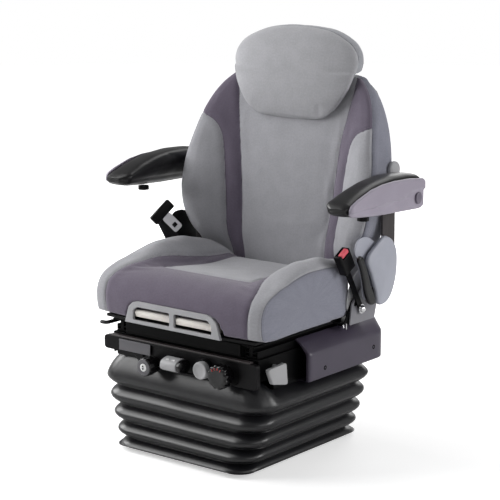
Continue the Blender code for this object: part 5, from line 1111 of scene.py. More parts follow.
@dataclass
class ArmRest:
    """Armrest: soft black pad over a light outer shell with a cap at its pivot."""

    side: Side
    inner_x: float = 0.3005
    outer_x: float = 0.3717
    tip_y: float = -0.070
    rear_y: float = 0.247
    top_line: tuple = ((-.070, .634), (-.060, .6405), (-.050, .646), (0.0, .664), (.060, .679), (.130, .685),
                       (.200, .682), (.235, .677), (.247, .667))
    low_line: tuple = ((-.070, .622), (-.060, .615), (-.040, .611), (0.0, .607), (.100, .6015),
                       (.200, .600), (.235, .602), (.247, .612))
    fold_line: tuple = ((-.070, .629), (-.050, .632), (0.0, .648), (.060, .663), (.130, .670), (.247, .668))
    undercut: float = 0.30
    shell_top: tuple = ((-.062, .632), (-.056, .641), (-.030, .652), (.023, .668), (.070, .6745),
                        (.118, .676), (.180, .674), (.236, .668), (.2455, .660))
    shell_low: tuple = ((-.062, .622), (-.052, .614), (-.030, .6105), (.031, .6045), (.070, .602),
                        (.120, .6000), (.180, .5975), (.228, .5955), (.2455, .603))

    def pad(self) -> None:
        """Pad: rounded sections along Y, narrower at the tip and the rear."""
        count, around = 66, 44
        turn = np.linspace(-np.pi / 2, np.pi / 2, count)
        y = (self.tip_y + self.rear_y) / 2 + (self.rear_y - self.tip_y) / 2 * np.sin(turn * 0.93) \
            / math.sin(0.93 * np.pi / 2)
        top = np.interp(y, *np.array(self.top_line).T)
        low = np.interp(y, *np.array(self.low_line).T)
        top = np.convolve(np.pad(top, 2, mode="edge"), np.ones(5) / 5, "valid")
        half_w = (self.outer_x - self.inner_x) / 2 * (1 - 0.42 * np.clip((-0.045 - y) / 0.025, 0, 1) ** 2)
        half_w *= 1 - 0.25 * np.clip((y - 0.232) / 0.015, 0, 1) ** 2
        theta = np.linspace(0, 2 * np.pi, around, endpoint=False)
        cx, cz = superellipse(theta, 0.55, 0.62)
        middle = (self.inner_x + self.outer_x) / 2
        lean = (self.outer_x - self.inner_x) / 2 - half_w
        x = (middle + lean * 0.6)[:, None] + half_w[:, None] * cx[None]
        z = ((top + low) / 2)[:, None] + ((top - low) / 2)[:, None] * cz[None]
        fold = np.interp(y, *np.array(self.fold_line).T)[:, None]
        x = x + self.undercut * np.maximum(0.0, fold - z) * np.clip(-cx[None] * 1.6, 0, 1)
        points = np.stack([x, np.broadcast_to(y[:, None], x.shape), z], -1)
        shares = np.array([0.92, 0.78, 0.55, 0.25])

        arc = 0.001 * (1 - shares**2)
        grid = np.concatenate([closing_rings(points[0], shares, 1, -arc)[::-1], points,
                               closing_rings(points[-1], shares, 1, arc)])
        rows, cols = grid.shape[:2]
        flat = grid.reshape(-1, 3) * (self.side.value, 1, 1)
        along = np.broadcast_to(np.linspace(0, 0.21, cols)[None], (rows, cols)).ravel()
        line = np.interp(flat[:, 1], (-0.07, -0.05, 0.247), (0.628, 0.6255, 0.612))
        seam = np.where((np.abs(flat[:, 0]) < self.outer_x - 0.02) | (flat[:, 1] < -0.05),
                        np.abs(flat[:, 2] - line), NO_SEAM)
        held = (flat[:, 2] < line) | (np.abs(flat[:, 0]) > self.outer_x - 0.004) | (seam < 0.003)
        cloth = np.stack([along, flat[:, 1]], 1)
        shell = SoftShell("armrest_pad_skin_" + self.side.word, flat, tube_faces(rows, cols), cloth,
                          {"seam": seam}, held)
        piece = shell.make("armrest_" + self.side.word, PAD_VINYL, swell=0.003, groove=0.0011, fill=0.8,
                           pressure=3.0)
        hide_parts("armrest_pad_" + self.side.word)

    def outer_shell(self) -> None:
        """Outer shell: a face between two edge lines, bowed outward, creased below, rounded at its rim."""
        count = 60
        y = np.linspace(-0.062, 0.2455, count)
        top = np.interp(y, *np.array(self.shell_top).T)
        low = np.interp(y, *np.array(self.shell_low).T)
        v = np.array([0.0, 0.02, 0.06, 0.12, 0.2, 0.3, 0.36, 0.40, 0.44, 0.5, 0.6, 0.7, 0.8, 0.88, 0.94, 0.98,
                      1.0])
        z = low[:, None] + (top - low)[:, None] * v[None]
        crease = np.interp(y, (-.062, .021, .133, .235), (.6235, .6270, .6300, .6420))
        height = z - crease[:, None]
        face = np.where(height > 0, 0.3805 - 0.0018 * (height / 0.045) ** 2,
                        0.3755 + 0.0050 * smooth((height + 0.0025) / 0.0025))
        edge = np.minimum(v, 1 - v)[None] * (top - low)[:, None]
        tip = np.clip(np.minimum(y + 0.062, 0.2455 - y), 0, 1)[:, None]
        rim = np.minimum(edge, tip)
        x_out = face - 0.0045 * (1 - np.sqrt(1 - (1 - np.clip(rim / 0.0045, 0, 1)) ** 2))
        x_in = np.minimum(x_out - 0.0015, 0.3725)
        outer, inner = (np.stack([x, np.broadcast_to(y[:, None], z.shape), z], -1) for x in (x_out, x_in))
        rings = np.concatenate([outer, inner[:, ::-1]], 1) * (self.side.value, 1, 1)
        piece = new_piece("armrest_shell_skin_" + self.side.word, rings, tube_faces(count, rings.shape[1]),
                          "armrest_" + self.side.word, SHELL_PLASTIC, sharp=50)
        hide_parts("armrest_shell_" + self.side.word)

    def cap(self) -> None:
        """Oval cap at the pivot with a low dome."""
        angle = np.linspace(0, 2 * np.pi, 40, endpoint=False)
        outline = np.stack([0.214 + 0.0115 * np.cos(angle), 0.6235 + 0.0145 * np.sin(angle)], 1)
        points, faces = slab(outline, 0.3750, 0.3812, 0.0012, Plane.YZ, dome=0.001)
        piece = new_piece("armrest_cap_skin_" + self.side.word, points * (self.side.value, 1, 1), faces,
                          "armrest_" + self.side.word, CAP_PLASTIC, sharp=60)
        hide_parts("armrest_cap_" + self.side.word)

    def build(self) -> None:
        """Makes the pad, the shell and the cap."""
        self.pad()
        self.outer_shell()
        self.cap()


# ---------------------------------------------------------------- boot and covers


@dataclass
class FoldedBoot:
    """Rubber boot: five soft folds between the foot flange and the rim, higher at the front."""

    folds: int = 5
    tip_low: float = 0.012
    pitch: float = 0.033
    gain: float = 0.002
    depth: float = 0.021
    rim: tuple = (0.225, 0.2085, 0.2052)
    foot: tuple = (0.177, 0.2075, 0.0033)
    low_size: tuple = (0.205, 0.238)
    high_size: tuple = (0.259, 0.229)
    foot_turn: float = 0.12
    rim_turn: float = 0.55
    wall: float = 0.0028
    lift: float = 0.029
    corner: float = 0.060
    foot_corner: float = 0.042
    spring: tuple = (0.0033, 0.2817)
    spring_shape: tuple = ((0, 0), (.044, 0), (.044, .02), (.040, .15), (.037, .30), (.0365, .44),
                           (.039, .46), (.045, .425), (.051, .425), (.056, .455), (.059, .52), (.060, .60),
                           (.060, .78), (.0585, .86), (.054, .93), (.051, .965), (.048, 1), (0, 1))
    columns: int = 200

    def height(self, t: Array) -> Array:
        """Height of fold number t: low + pitch·t + gain·t^2."""
        return self.tip_low + self.pitch * t + self.gain * t * t

    def ring(self, half_w: Array, half_l: Array, corner: Array) -> Array:
        """Rounded rectangle at each size: quarter circles at the corners, straight runs between.

        Args:
            half_w: half widths, shape (n,).
            half_l: half lengths, shape (n,).
            corner: corner radii, shape (n,).

        Returns:
            Points of shape (n, columns, 2), which start at the front middle.
        """
        quarter = self.columns // 4
        turn = np.linspace(0, 1, quarter, endpoint=False)
        bend = np.clip((turn - 0.30) / 0.40, 0, 1)
        first = np.clip(turn / 0.30, 0, 1)
        last = np.clip((turn - 0.70) / 0.30, 0, 1)
        angle = bend * np.pi / 2
        x = (half_w - corner)[:, None] * first + corner[:, None] * np.sin(angle)
        y = -(half_l - corner)[:, None] * (1 - last) - corner[:, None] * np.cos(angle)
        one = np.stack([x, y], -1)
        two = np.stack([x, -y], -1)[:, ::-1]
        mid = np.stack([half_w, np.zeros_like(half_w)], -1)[:, None]
        back = np.stack([np.zeros_like(half_w), half_l], -1)[:, None]
        right = np.concatenate([one, mid, two[:, :-1], back], 1)
        left = (right[:, 1:-1] * (-1, 1))[:, ::-1]
        return np.concatenate([right, left], 1)

    def build(self) -> None:
        """Builds the outer skin and an inner skin one wall inside it, joined at the rim and the foot."""
        t = np.linspace(-self.foot_turn, self.folds - 1 + self.rim_turn, 118)
        z = self.height(np.clip(t, 0, None)) + np.clip(t, None, 0) * 0.05
        share = np.clip(t / (self.folds - 1), 0, 1)
        tip_w, tip_l = (low + (high - low) * share for low, high in zip(self.low_size, self.high_size))
        valley = self.depth * (1 - np.abs(np.cos(np.pi * t)) ** 0.8)
        valley = np.where(t < 0, 0.030 * np.clip(-t / self.foot_turn, 0, 1) ** 1.5, valley)
        fade = smooth((t - (self.folds - 1)) / self.rim_turn)
        half_w, half_l, z = (value * (1 - fade) + end * fade
                             for value, end in zip((tip_w - valley, tip_l - valley, z), self.rim))
        corner = np.where(t < 0, self.foot_corner, self.corner)
        corner = np.minimum(corner, np.minimum(half_w, half_l) - 0.02)
        z[0], half_w[0], half_l[0] = self.foot[2], self.foot[0], self.foot[1]
        outline = self.ring(half_w, half_l, corner)
        height = np.broadcast_to(z[:, None], outline.shape[:2]).copy()
        last = self.height(np.array(self.folds - 1.0))
        start = self.rim[1] - self.corner
        climb = smooth((-outline[..., 1] - start) / 0.045) * self.lift
        height += np.clip((height - last) / (self.rim[2] - last), 0, 1) * climb
        sag = np.sin(outline[..., 0] / 0.26 * np.pi) * np.sin(outline[..., 1] / 0.24 * np.pi * 0.5)
        height += 0.0012 * sag * smooth(t / 2)[:, None] * (1 - fade)[:, None]
        points = np.concatenate([outline, height[..., None]], -1)
        ahead = np.gradient(points, axis=0)
        around = np.roll(points, -1, 1) - np.roll(points, 1, 1)
        normal = np.cross(around, ahead)
        normal /= np.maximum(np.linalg.norm(normal, axis=2, keepdims=True), 1e-9)
        inner = points - self.wall * normal
        inner[..., 2] = np.clip(inner[..., 2], self.foot[2], None)
        inner[-1] = points[-1] * (0.985, 0.985, 1)
        rings = np.concatenate([points, inner[::-1]])
        cols = rings.shape[1]
        faces = grid_quads(len(rings), cols, True).tolist() + closing_quads(len(rings), cols)
        piece = new_piece("boot_skin", rings, faces, "base", BOOT_RUBBER, sharp=75)
        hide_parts("boot")
        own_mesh(piece)
        self.air_spring()

    def air_spring(self) -> None:
        """Rolling-lobe air spring on its piston."""
        low, high = self.spring
        rise = high - low
        profile = [(radius, low + rise * share) for radius, share in self.spring_shape]
        points, faces = lathe(profile, (0, 0, 0), (0, 0, 1), 48)
        piece = new_piece("air_spring_skin", points, faces, "base", BOOT_RUBBER, sharp=50)
        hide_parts("air_spring")
        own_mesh(piece)


@dataclass
class SideCover:
    """Long moulded side cover with a soft ridge, a rounded rear end and two recessed screws."""

    side: Side
    front_y: float = -0.055
    rear_y: float = 0.262
    low: float = 0.2075
    outer: float = 0.2610
    inner: float = 0.2253
    ridge: float = 0.0665
    rise: float = 0.0995
    top_x: float = 0.2195
    screws: tuple = ((0.006, 0.231), (0.207, 0.240))

    def section(self, out: Array) -> Array:
        """Section in the X-Z plane: flat side, ridge of 6 mm radius, slope to the top edge.

        Args:
            out: outermost x of each section, shape (n,).

        Returns:
            Points of shape (n, k, 2).
        """
        top = self.low + self.rise
        share = ((out - self.inner) / (self.outer - self.inner))[:, None]
        line = np.array([(1.0, 0.0), (0.35, 0.0), (0.06, 0.0), (0.01, 0.0015), (0.0, 0.005), (0.0, 0.02),
                         (0.0, 0.04), (0.0, self.ridge - 0.008), (0.006, self.ridge - 0.003),
                         (0.035, self.ridge + 0.001), (0.085, self.ridge + 0.0035)])
        x = self.inner + (self.outer - self.inner) * (1 - line[None, :, 0]) * share
        z = np.broadcast_to(self.low + line[None, :, 1], x.shape)
        slope = np.linspace(0.15, 1, 8)[None]
        end_x = x[:, -1:] + (self.top_x - x[:, -1:]) * slope
        end_z = z[:, -1:] + (top - z[:, -1:]) * slope + 0.003 * np.sin(np.pi * slope)
        outer = np.stack([np.concatenate([x, end_x], 1), np.concatenate([z, end_z], 1)], -1)
        inner = outer[:, ::-1] - (0.003, 0.0)
        inner[..., 1] = np.clip(inner[..., 1] - 0.0025, self.low + 0.0005, None)
        inner[..., 0] = np.clip(inner[..., 0], self.top_x - 0.003, None)
        return np.concatenate([outer, inner], 1)

    def build(self) -> None:
        """Makes the cover and its screws."""
        turn = np.linspace(0.12, 1, 12) * np.pi / 2
        y = np.concatenate([self.front_y + np.array((0.0, 0.0006, 0.002, 0.004, 0.007)),
                            np.linspace(-0.04, 0.222, 26), self.rear_y - 0.036 * (1 - np.sin(turn))])
        out = np.full_like(y, self.outer)
        out[:5] = self.outer - np.array((0.0075, 0.004, 0.0018, 0.0006, 0.0))
        out[-len(turn):] = self.outer - 0.030 * (1 - np.cos(turn))
        flat = self.section(out)
        rings = np.stack([flat[..., 0] * self.side.value, np.broadcast_to(y[:, None], flat.shape[:2]),
                          flat[..., 1]], -1)
        piece = new_piece("side_cover_skin_" + self.side.word, rings, tube_faces(len(y), rings.shape[1]),
                          "suspension", COVER_PLASTIC, sharp=60)
        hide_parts("side_cover_" + self.side.word)
        parts = []
        for place_y, place_z in self.screws:
            centre = (self.side.value * (self.outer - 0.0008), place_y, place_z)
            profile = ((0, 0.0002), (0.0022, 0.0002), (0.0026, 0.0012), (0.0048, 0.0013), (0.0056, 0.0010),
                       (0.0058, 0.0), (0, 0.0))
            parts.append(lathe(profile, centre, (self.side.value, 0, 0), 24))
        points, faces = combined(parts)
        new_piece("side_cover_screws_" + self.side.word, points, faces, "suspension", BLACK_STEEL)


@dataclass
class HingeCover:
    """Kidney-shaped recliner cover, domed, with a smaller round cover in front of it."""

    side: Side
    low_x: float = 0.2955
    high_x: float = 0.3085
    dome: float = 0.0062
    outline: tuple = ((.183, .527), (.200, .522), (.216, .511), (.232, .486), (.235, .448), (.228, .410),
                      (.210, .376), (.186, .3615), (.160, .364), (.148, .400), (.128, .445), (.113, .474),
                      (.121, .492), (.146, .508), (.166, .520))
    inner_x: tuple = (0.2856, 0.2896)
    inner_outline: tuple = ((.083, .500), (.092, .5245), (.112, .531), (.140, .527), (.175, .500),
                            (.180, .440), (.165, .392), (.140, .374), (.120, .386), (.112, .420),
                            (.098, .462))

    def build(self) -> None:
        """Makes the domed outer cover and the flat inner cover behind the lever."""
        finish = COOL_PLASTIC if self.side is Side.LEFT else BLACK_PLASTIC
        ring = curve_through(self.outline, 90, closed=True)
        points, faces = slab(ring, self.low_x, self.high_x, 0.0055, Plane.YZ, dome=self.dome)
        piece = new_piece("hinge_cover_skin_" + self.side.word, points * (self.side.value, 1, 1), faces,
                          "backrest", finish, sharp=70)
        ring = curve_through(self.inner_outline, 80, closed=True)
        points, faces = slab(ring, *self.inner_x, 0.0014, Plane.YZ)
        new_piece("hinge_inner_cover_" + self.side.word, points * (self.side.value, 1, 1), faces, "backrest",
                  finish, sharp=70)
        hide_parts("hinge_cover_" + self.side.word)


@dataclass
class RecLever:
    """Curved black recline lever with rounded edges."""

    outline: tuple = ((.088, .4925), (.097, .487), (.104, .475), (.117, .447), (.129, .417), (.142, .394),
                      (.151, .371), (.144, .3655), (.128, .368), (.117, .382), (.107, .405), (.099, .434),
                      (.089, .461), (.079, .481), (.081, .490))

    def build(self) -> None:
        """Makes the lever."""
        ring = curve_through(self.outline, 80, closed=True)
        points, faces = slab(ring, 0.2953, 0.3053, 0.0036, Plane.YZ, dome=0.0002)
        piece = new_piece("recline_lever_skin", points, faces, "recline_lever", GLOSS_PLASTIC, sharp=70)
        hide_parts("recline_lever")


# ---------------------------------------------------------------- front controls


@dataclass
class FrontControls:
    """Knobs, rocker and button on the control panel."""

    seat_y: float = -0.2217
    top_z: float = 0.2807
    knob: tuple = (-0.070, 0.047, 0.0225, 0.048)
    rocker: tuple = (0.008, 0.033, 0.060, 0.034, 0.032)
    button: tuple = (0.083, 0.034, 0.021, 0.022)
    travel: float = 0.0060
    proud: float = 0.002
    damper: tuple = (0.146, 0.036, 0.030, 0.038)

    def ride_knob(self) -> None:
        """Fluted knob on its neck, with a white disc and a two-way arrow."""
        x, drop, r, length = self.knob
        y0 = self.seat_y
        centre = (x, y0, self.top_z - drop)
        profile = ((0, 0), (r * .6, 0), (r * .6, length * .08), (r * .86, length * .12),
                   (r * .88, length * .4), (r * .97, length * .44), (r, length * .5), (r, length - .006),
                   (r * .97, length - .0025), (r * .90, length - .0005), (r * .80, length),
                   (r * .5, length - .0004), (0, length - .0004))
        points, faces = lathe(profile, centre, (0, -1, 0), 96, flutes=16, flute=0.0011)
        piece = new_piece("ride_knob_skin", points, faces, "ride_knob", GLOSS_PLASTIC, sharp=50)
        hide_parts("ride_knob")
        cap_r = r * 0.42
        disc = lathe(((0, length), (cap_r, length), (cap_r, length + .0008), (cap_r * .8, length + .0014),
                      (0, length + .0016)), centre, (0, -1, 0), 40)
        cap = new_piece("ride_knob_disc", *disc, "ride_knob", WHITE_MARK)
        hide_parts("ride_knob_cap")
        front = y0 - length - 0.0016
        z = self.top_z - drop
        arrows = [slab(np.array([(x - .0035, z + s * .0012), (x + .0035, z + s * .0012), (x, z + s * .0062)]),
                       front - .0004, front + .0004, .00005, Plane.XZ) for s in (1, -1)]
        points, faces = combined(arrows)
        new_piece("ride_knob_arrows", points, faces, "ride_knob", BLACK_PLASTIC)

    def height_rocker(self) -> None:
        """Grey rocker: a rounded paddle with a black end and two pale marks."""
        x, drop, w, h, length = self.rocker
        z, half = self.top_z - drop, h / 2
        y0 = self.seat_y - half
        outline = curve_through(((y0 + half * .98, z), (y0 + half * .7, z + half * .68),
                                 (y0 + half * .1, z + half * .98), (y0 - length * .35, z + half * .92),
                                 (y0 - length * .72, z + half * .60), (y0 - length * .85, z + half * .1),
                                 (y0 - length * .78, z - half * .5), (y0 - length * .3, z - half * .93),
                                 (y0 + half * .2, z - half * .96), (y0 + half * .75, z - half * .62)),
                                60, closed=True)
        points, faces = slab(outline, x - w / 2, x + w / 2 - 0.012, 0.002, Plane.YZ)
        body = new_piece("height_rocker_skin", points, faces, "height_rocker", GREY_PLASTIC, sharp=60)
        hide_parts("height_rocker")
        inner = outline.mean(0) + (outline - outline.mean(0)) * 0.97
        points, faces = slab(inner, x + w / 2 - 0.0118, x + w / 2, 0.003, Plane.YZ)
        new_piece("height_rocker_end", points, faces, "height_rocker", GLOSS_PLASTIC, sharp=60)
        marks = []
        for place in (x - 0.014, x + 0.004):
            face_y, face_z = y0 - length * 0.50, z + half * 0.84
            ring = np.array([(place - .0045, face_y - .002), (place + .0045, face_y - .002),
                             (place, face_y + .0045)])
            marks.append(slab(ring, face_z - 0.004, face_z + 0.0012, 0.00005, Plane.XY))
        points, faces = combined(marks)
        new_piece("height_rocker_marks", points, faces, "height_rocker", WHITE_MARK)

    def vent_button(self) -> None:
        """Round push button, slightly dished, with a fine rim."""
        x, drop, r, length = self.button
        centre = (x, self.seat_y, self.top_z - drop)
        base = length + self.proud
        profile = ((0, self.travel), (r, self.travel), (r, base - .003), (r - .0006, base - .001),
                   (r - .002, base), (r - .0045, base - .0003), (r - .0055, base - .0012),
                   (r * .4, base - .0018), (0, base - .002))
        points, faces = lathe(profile, centre, (0, -1, 0), 64)
        piece = new_piece("vent_button_skin", points, faces, "vent_button", GREY_PLASTIC, sharp=45)
        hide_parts("vent_button")

    def damper_knob(self) -> None:
        """Ribbed knob with red index marks round its front edge."""
        x, drop, r, length = self.damper
        centre = (x, self.seat_y, self.top_z - drop)
        profile = ((0, 0), (r * .72, 0), (r * .72, length * .3), (r * .9, length * .34), (r, length * .42),
                   (r, length * .86), (r * .95, length * .96), (r * .86, length), (r * .55, length - .0012),
                   (0, length - .0012))
        points, faces = lathe(profile, centre, (0, -1, 0), 120, flutes=12, flute=0.0034)
        piece = new_piece("damper_knob_skin", points, faces, "damper_knob", GLOSS_PLASTIC, sharp=50)
        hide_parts("damper_knob")
        marks = []
        for degrees in (60, 84, 108, 132):
            a = math.radians(degrees)
            c, s = math.cos(a), math.sin(a)
            base = np.array([(-.0009, -.003), (.0009, -.003), (.0009, .003), (-.0009, .003)])
            turned = np.stack([x + r * .68 * c + base[:, 0] * s + base[:, 1] * c,
                               self.top_z - drop + r * .68 * s - base[:, 0] * c + base[:, 1] * s], 1)
            front = self.seat_y - length
            marks.append(slab(turned, front - .0003, front + .0014, .0001, Plane.XZ))
        points, faces = combined(marks)
        new_piece("damper_marks", points, faces, "damper_knob", RED_MARK)

    def build(self) -> None:
        """Makes all four controls."""
        self.ride_knob()
        self.height_rocker()
        self.vent_button()
        self.damper_knob()


@dataclass
class Fittings:
    """Small visible hardware: stalk nut, carriage clip, hinge guards, panel plate and the knob's ring."""

    stalk: tuple = (0.2722, 0.137, 0.3516)
    clip: tuple = ((0.238, 0.3080), (0.262, 0.3080), (0.262, 0.3215), (0.238, 0.3215))
    clip_y: tuple = (0.0884, 0.0916)
    tab: tuple = ((0.243, 0.3105), (0.257, 0.3105), (0.2545, 0.3180), (0.2455, 0.3180))
    guard: tuple = ((0.103, 0.349), (0.178, 0.349), (0.184, 0.395), (0.176, 0.438), (0.140, 0.440),
                    (0.106, 0.400))
    guard_x: tuple = (0.2532, 0.2570)
    plate: tuple = ((-0.186, 0.2500), (-0.086, 0.2500), (-0.086, 0.2770), (-0.186, 0.2770))
    panel_front: float = -0.2255

    def stalk_nut(self) -> None:
        """Domed bright nut and its washer at the foot of the buckle stalk."""
        x, y, z = self.stalk
        profile = ((0, 0), (0.0115, 0), (0.0115, 0.0014), (0.0090, 0.0016), (0.0088, 0.0060),
                   (0.0074, 0.0078), (0.0040, 0.0098), (0, 0.0102))
        points, faces = lathe(profile, (x, y, z), (1, 0, 0), 48)
        new_piece("stalk_nut", points, faces, "carriage", BRIGHT_STEEL, sharp=35)

    def carriage_clip(self) -> None:
        """Folded bright clip in front of the carriage plate's wing."""
        low, high = self.clip_y
        points, faces = combined([slab(np.array(self.clip), low, high, 0.0008, Plane.XZ),
                                  slab(np.array(self.tab), low - 0.003, low, 0.0009, Plane.XZ)])
        new_piece("carriage_clip", points, faces, "carriage", BRIGHT_STEEL, sharp=35)

    def guards(self) -> None:
        """Flat guards that close the gap between the cushion and the backrest on both sides."""
        ring = curve_through(self.guard, 70, closed=True)
        points, faces = slab(ring, *self.guard_x, 0.0014, Plane.YZ)
        for side, finish in ((Side.LEFT, GREY_PLASTIC), (Side.RIGHT, BLACK_PLASTIC)):
            new_piece("hinge_guard_" + side.word, points * (side.value, 1, 1), faces, "carriage", finish,
                      sharp=70)

    def panel_plate(self) -> None:
        """Grey metal plate on the left end of the control panel."""
        points, faces = slab(np.array(self.plate), self.panel_front - 0.0016, self.panel_front, 0.0007,
                             Plane.XZ)
        new_piece("panel_plate", points, faces, "suspension", DARK_METAL, sharp=35)

    def knob_ring(self) -> None:
        """Grey ring on the face of the big knob."""
        controls = FrontControls()
        x, drop, r, length = controls.knob
        profile = ((r * 0.46, length - 0.002), (r * 0.46, length + 0.0003), (r * 0.52, length + 0.0007),
                   (r * 0.80, length + 0.0007), (r * 0.86, length + 0.0002), (r * 0.86, length - 0.002))
        points, faces = lathe(profile, (x, controls.seat_y, controls.top_z - drop), (0, -1, 0), 64)
        faces = faces[:-2] + closing_quads(len(profile), 64)
        new_piece("ride_knob_ring", points, faces, "ride_knob", DARK_METAL, sharp=50)

    def build(self) -> None:
        """Makes all the fittings."""
        self.stalk_nut()
        self.carriage_clip()
        self.guards()
        self.panel_plate()
        self.knob_ring()


# ---------------------------------------------------------------- rigid parts with rounded edges


@dataclass
class RoundedNodes:
    """Rigid CAD nodes shown as copies with their edges rounded, each with its finish."""

    plan: tuple = (
        (("front_trim",), TRIM_PLASTIC, 0.0020, "light_plastic"),
        (("depth_handle", "tilt_handle"), HANDLE_PLASTIC, 0.0014, "handle_white"),
        (("control_panel",), BLACK_PLASTIC, 0.0010, "black_plastic"),
        (("upper_frame", "carriage_plate", "tilt_pan"), BLACK_STEEL, 0.0007, "black_steel"),
        (("lower_rail_left", "lower_rail_right", "upper_rail_left", "upper_rail_right"), BLACK_STEEL, 0.0004,
         "black_steel"),
        (("side_plate_left",), PLATE_STEEL, 0.0006, "black_steel"),
        (("side_plate_right",), BLACK_STEEL, 0.0006, "black_steel"),
        (("arm_bracket_left", "arm_bracket_right"), BRACKET_STEEL, 0.0010, "black_steel"),
        (("isolator_tab",), GREY_PLASTIC, 0.0012, "grey_plastic"),
        (("release_lever",), GLOSS_PLASTIC, 0.0010, "black_plastic"),
        (("buckle_housing",), BLACK_PLASTIC, 0.0008, "black_plastic"),
        (("buckle_stalk",), BLACK_PLASTIC, 0.0010, "black_plastic"),
        (("buckle_button",), RED_PLASTIC, 0.0005, "button_red"),
        (("tongue_grip",), BLACK_PLASTIC, 0.0010, "black_plastic"),
        (("belt_tongue",), CHROME_PAINTED_REFLECTION, 0.0005, "bright_steel"),
        (("belt_webbing",), BELT_WEB, 0.0003, "black_plastic"),
        (("belt_retractor",), BLACK_PLASTIC, 0.0020, "black_plastic"),
        (("lumbar_knob",), TRIM_PLASTIC, 0.0012, "grey_plastic"),
        (("rest_wheel_left", "rest_wheel_right"), BLACK_PLASTIC, 0.0006, "black_plastic"),
        (("back_shell",), BLACK_PLASTIC, 0.0015, "black_plastic"),
        (("headrest_plate",), BLACK_PLASTIC, 0.0010, "black_plastic"),
        (("cushion_board",), BLACK_PLASTIC, 0.0008, "black_plastic"),
        (("edge_strip",), BRACKET_STEEL, 0.0003, "bright_steel"),
    )
    plain: tuple = ((("base_plate", "scissor_outer", "scissor_inner", "back_frame"), BLACK_STEEL),)

    @staticmethod
    def rounded(node: str, finish: Finish, width: float, slot: str) -> None:
        """Copies a node, merges its corners, dissolves its flat faces and bevels what is left."""
        source = FRAME["nodes"][node]
        shape = bmesh.new()
        shape.from_mesh(source.data)
        bmesh.ops.remove_doubles(shape, verts=shape.verts, dist=2e-5)
        bmesh.ops.dissolve_limit(shape, angle_limit=math.radians(1.0), verts=shape.verts, edges=shape.edges)
        mesh = bpy.data.meshes.new(node + "_skin")
        shape.to_mesh(mesh)
        shape.free()
        piece = placed(node + "_skin", mesh)
        mesh.materials.append(finish.material())
        bevel = piece.modifiers.new("edges", "BEVEL")
        bevel.width = width
        bevel.segments = 2
        bevel.limit_method = "ANGLE"
        bevel.angle_limit = math.radians(28)
        bevel.harden_normals = True
        smooth_faces(mesh)
        mesh.set_sharp_from_angle(angle=math.radians(35))
        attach(piece, body_of(source)[0])
        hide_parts(node)
        LOG.info("rounded %s", node)

    def build(self) -> None:
        """Rounds the planned nodes and gives the hidden ones their finish."""
        for nodes, finish, width, slot in self.plan:
            for node in nodes:
                self.rounded(node, finish, width, slot)
        for nodes, finish in self.plain:
            for node in nodes:
                source = FRAME["nodes"][node]
                source.data.materials.clear()
                source.data.materials.append(finish.material())


# ---------------------------------------------------------------- studio


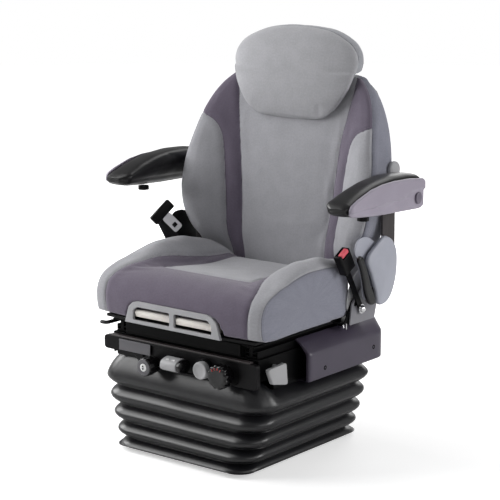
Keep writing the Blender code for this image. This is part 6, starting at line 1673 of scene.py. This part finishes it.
@dataclass
class Studio:
    """Camera at the photograph's angle, soft lamps, pale floor and world."""

    azimuth: float = 38.54
    elevation: float = 11.86
    distance: float = 4.324
    target: tuple = (0.0378, 0.0, 0.4876)
    lens: float = 129.0
    lamps: tuple = (("top_left", (-1.6, -0.8, 2.8), 1.8, 26.0),
                    ("top_back", (0.0, 1.8, 2.8), 1.6, 18.0),
                    ("left_front", (-2.2, -2.0, 1.7), 1.6, 50.0),
                    ("left_side", (-3.0, -0.2, 1.6), 1.6, 50.0),
                    ("right_back", (3.0, 1.2, 1.4), 1.6, 47.0),
                    ("right_front", (2.8, -0.9, 1.5), 1.6, 12.0),
                    ("back", (-1.0, 3.2, 1.3), 1.6, 16.0))
    aim: tuple = (0.0, 0.0, 0.5)

    def camera(self) -> None:
        """Places the camera on its sphere round the target."""
        view = bpy.data.cameras.new("view")
        view.lens = self.lens
        view.sensor_width = 36.0
        view.clip_start, view.clip_end = 0.05, 60.0
        turn, rise = math.radians(self.azimuth), math.radians(self.elevation)
        away = Vector((math.sin(turn) * math.cos(rise), -math.cos(turn) * math.cos(rise), math.sin(rise)))
        item = placed("view", view)
        item.location = Vector(self.target) + away * self.distance
        item.rotation_euler = (-away).to_track_quat("-Z", "Y").to_euler()
        bpy.context.scene.camera = item

    def lights(self) -> None:
        """Adds the soft boxes and the world."""
        for name, place, size, power in self.lamps:
            lamp = bpy.data.lights.new(name, "AREA")
            lamp.shape, lamp.size, lamp.energy = "SQUARE", size, power
            item = placed(name, lamp)
            item.location = place
            item.rotation_euler = (Vector(self.aim) - Vector(place)).to_track_quat("-Z", "Y").to_euler()
        world = bpy.data.worlds.new("studio")
        w = empty_wiring(world)
        path = w.add("LightPath")
        shown = w.maths("MAXIMUM", path.outputs["Is Camera Ray"], path.outputs["Is Transmission Ray"])
        glow = w.maths("MULTIPLY", path.outputs["Is Glossy Ray"], 0.30)
        bright = w.maths("MAXIMUM", w.maths("MAXIMUM", shown, glow), 0.07)
        back = w.add("Background", {"Color": (1.0, 1.0, 1.0, 1.0), "Strength": bright})
        w.add("OutputWorld", {"Surface": back.outputs[0]})
        bpy.context.scene.world = world

    def floor(self) -> None:
        """Pale floor that takes the shadow, lifted to white for the camera."""
        angle = np.linspace(0, 2 * np.pi, 64, endpoint=False)
        rim = np.stack([9 * np.cos(angle), 9 * np.sin(angle), np.full(64, -0.0004)], 1)
        mesh = bpy.data.meshes.new("floor")
        mesh.from_pydata(rim.tolist(), [], [list(range(64))])
        item = placed("floor", mesh)
        made = bpy.data.materials.new("floor")
        w = empty_wiring(made)
        seen = w.add("LightPath").outputs["Is Camera Ray"]
        place = w.add("TexCoord").outputs["Object"]
        away = w.add("VectorMath", {0: place}, operation="LENGTH").outputs["Value"]
        lift = w.spread(away, 0.5, 2.6, 0.50, 1.05)
        plain = w.add("BsdfDiffuse", {"Color": (0.86, 0.86, 0.86, 1.0)})
        glow = w.add("Emission", {"Color": (1.0, 1.0, 1.0, 1.0),
                                  "Strength": w.maths("MULTIPLY", seen, lift)})
        both = w.add("AddShader", {0: plain.outputs[0], 1: glow.outputs[0]})
        w.add("OutputMaterial", {"Surface": both.outputs[0]})
        mesh.materials.append(made)

    def build(self) -> None:
        """Makes the whole studio."""
        self.camera()
        self.lights()
        self.floor()
        bpy.context.scene.view_settings.view_transform = "Standard"


def main() -> None:
    """Builds every class in order and notes the sizes."""
    logging.basicConfig(level=logging.INFO, format="%(name)s: %(message)s")
    Studio().build()
    parts = [Cushion(), Backrest(), HeadRestraint(), ArmRest(Side.LEFT), ArmRest(Side.RIGHT), FoldedBoot(),
             SideCover(Side.LEFT), SideCover(Side.RIGHT), HingeCover(Side.LEFT), HingeCover(Side.RIGHT),
             RecLever(), FrontControls(), Fittings(), RoundedNodes()]
    for part in parts:
        part.build()
        LOG.info("built %s", type(part).__name__)


if __name__ == "__main__":
    main()
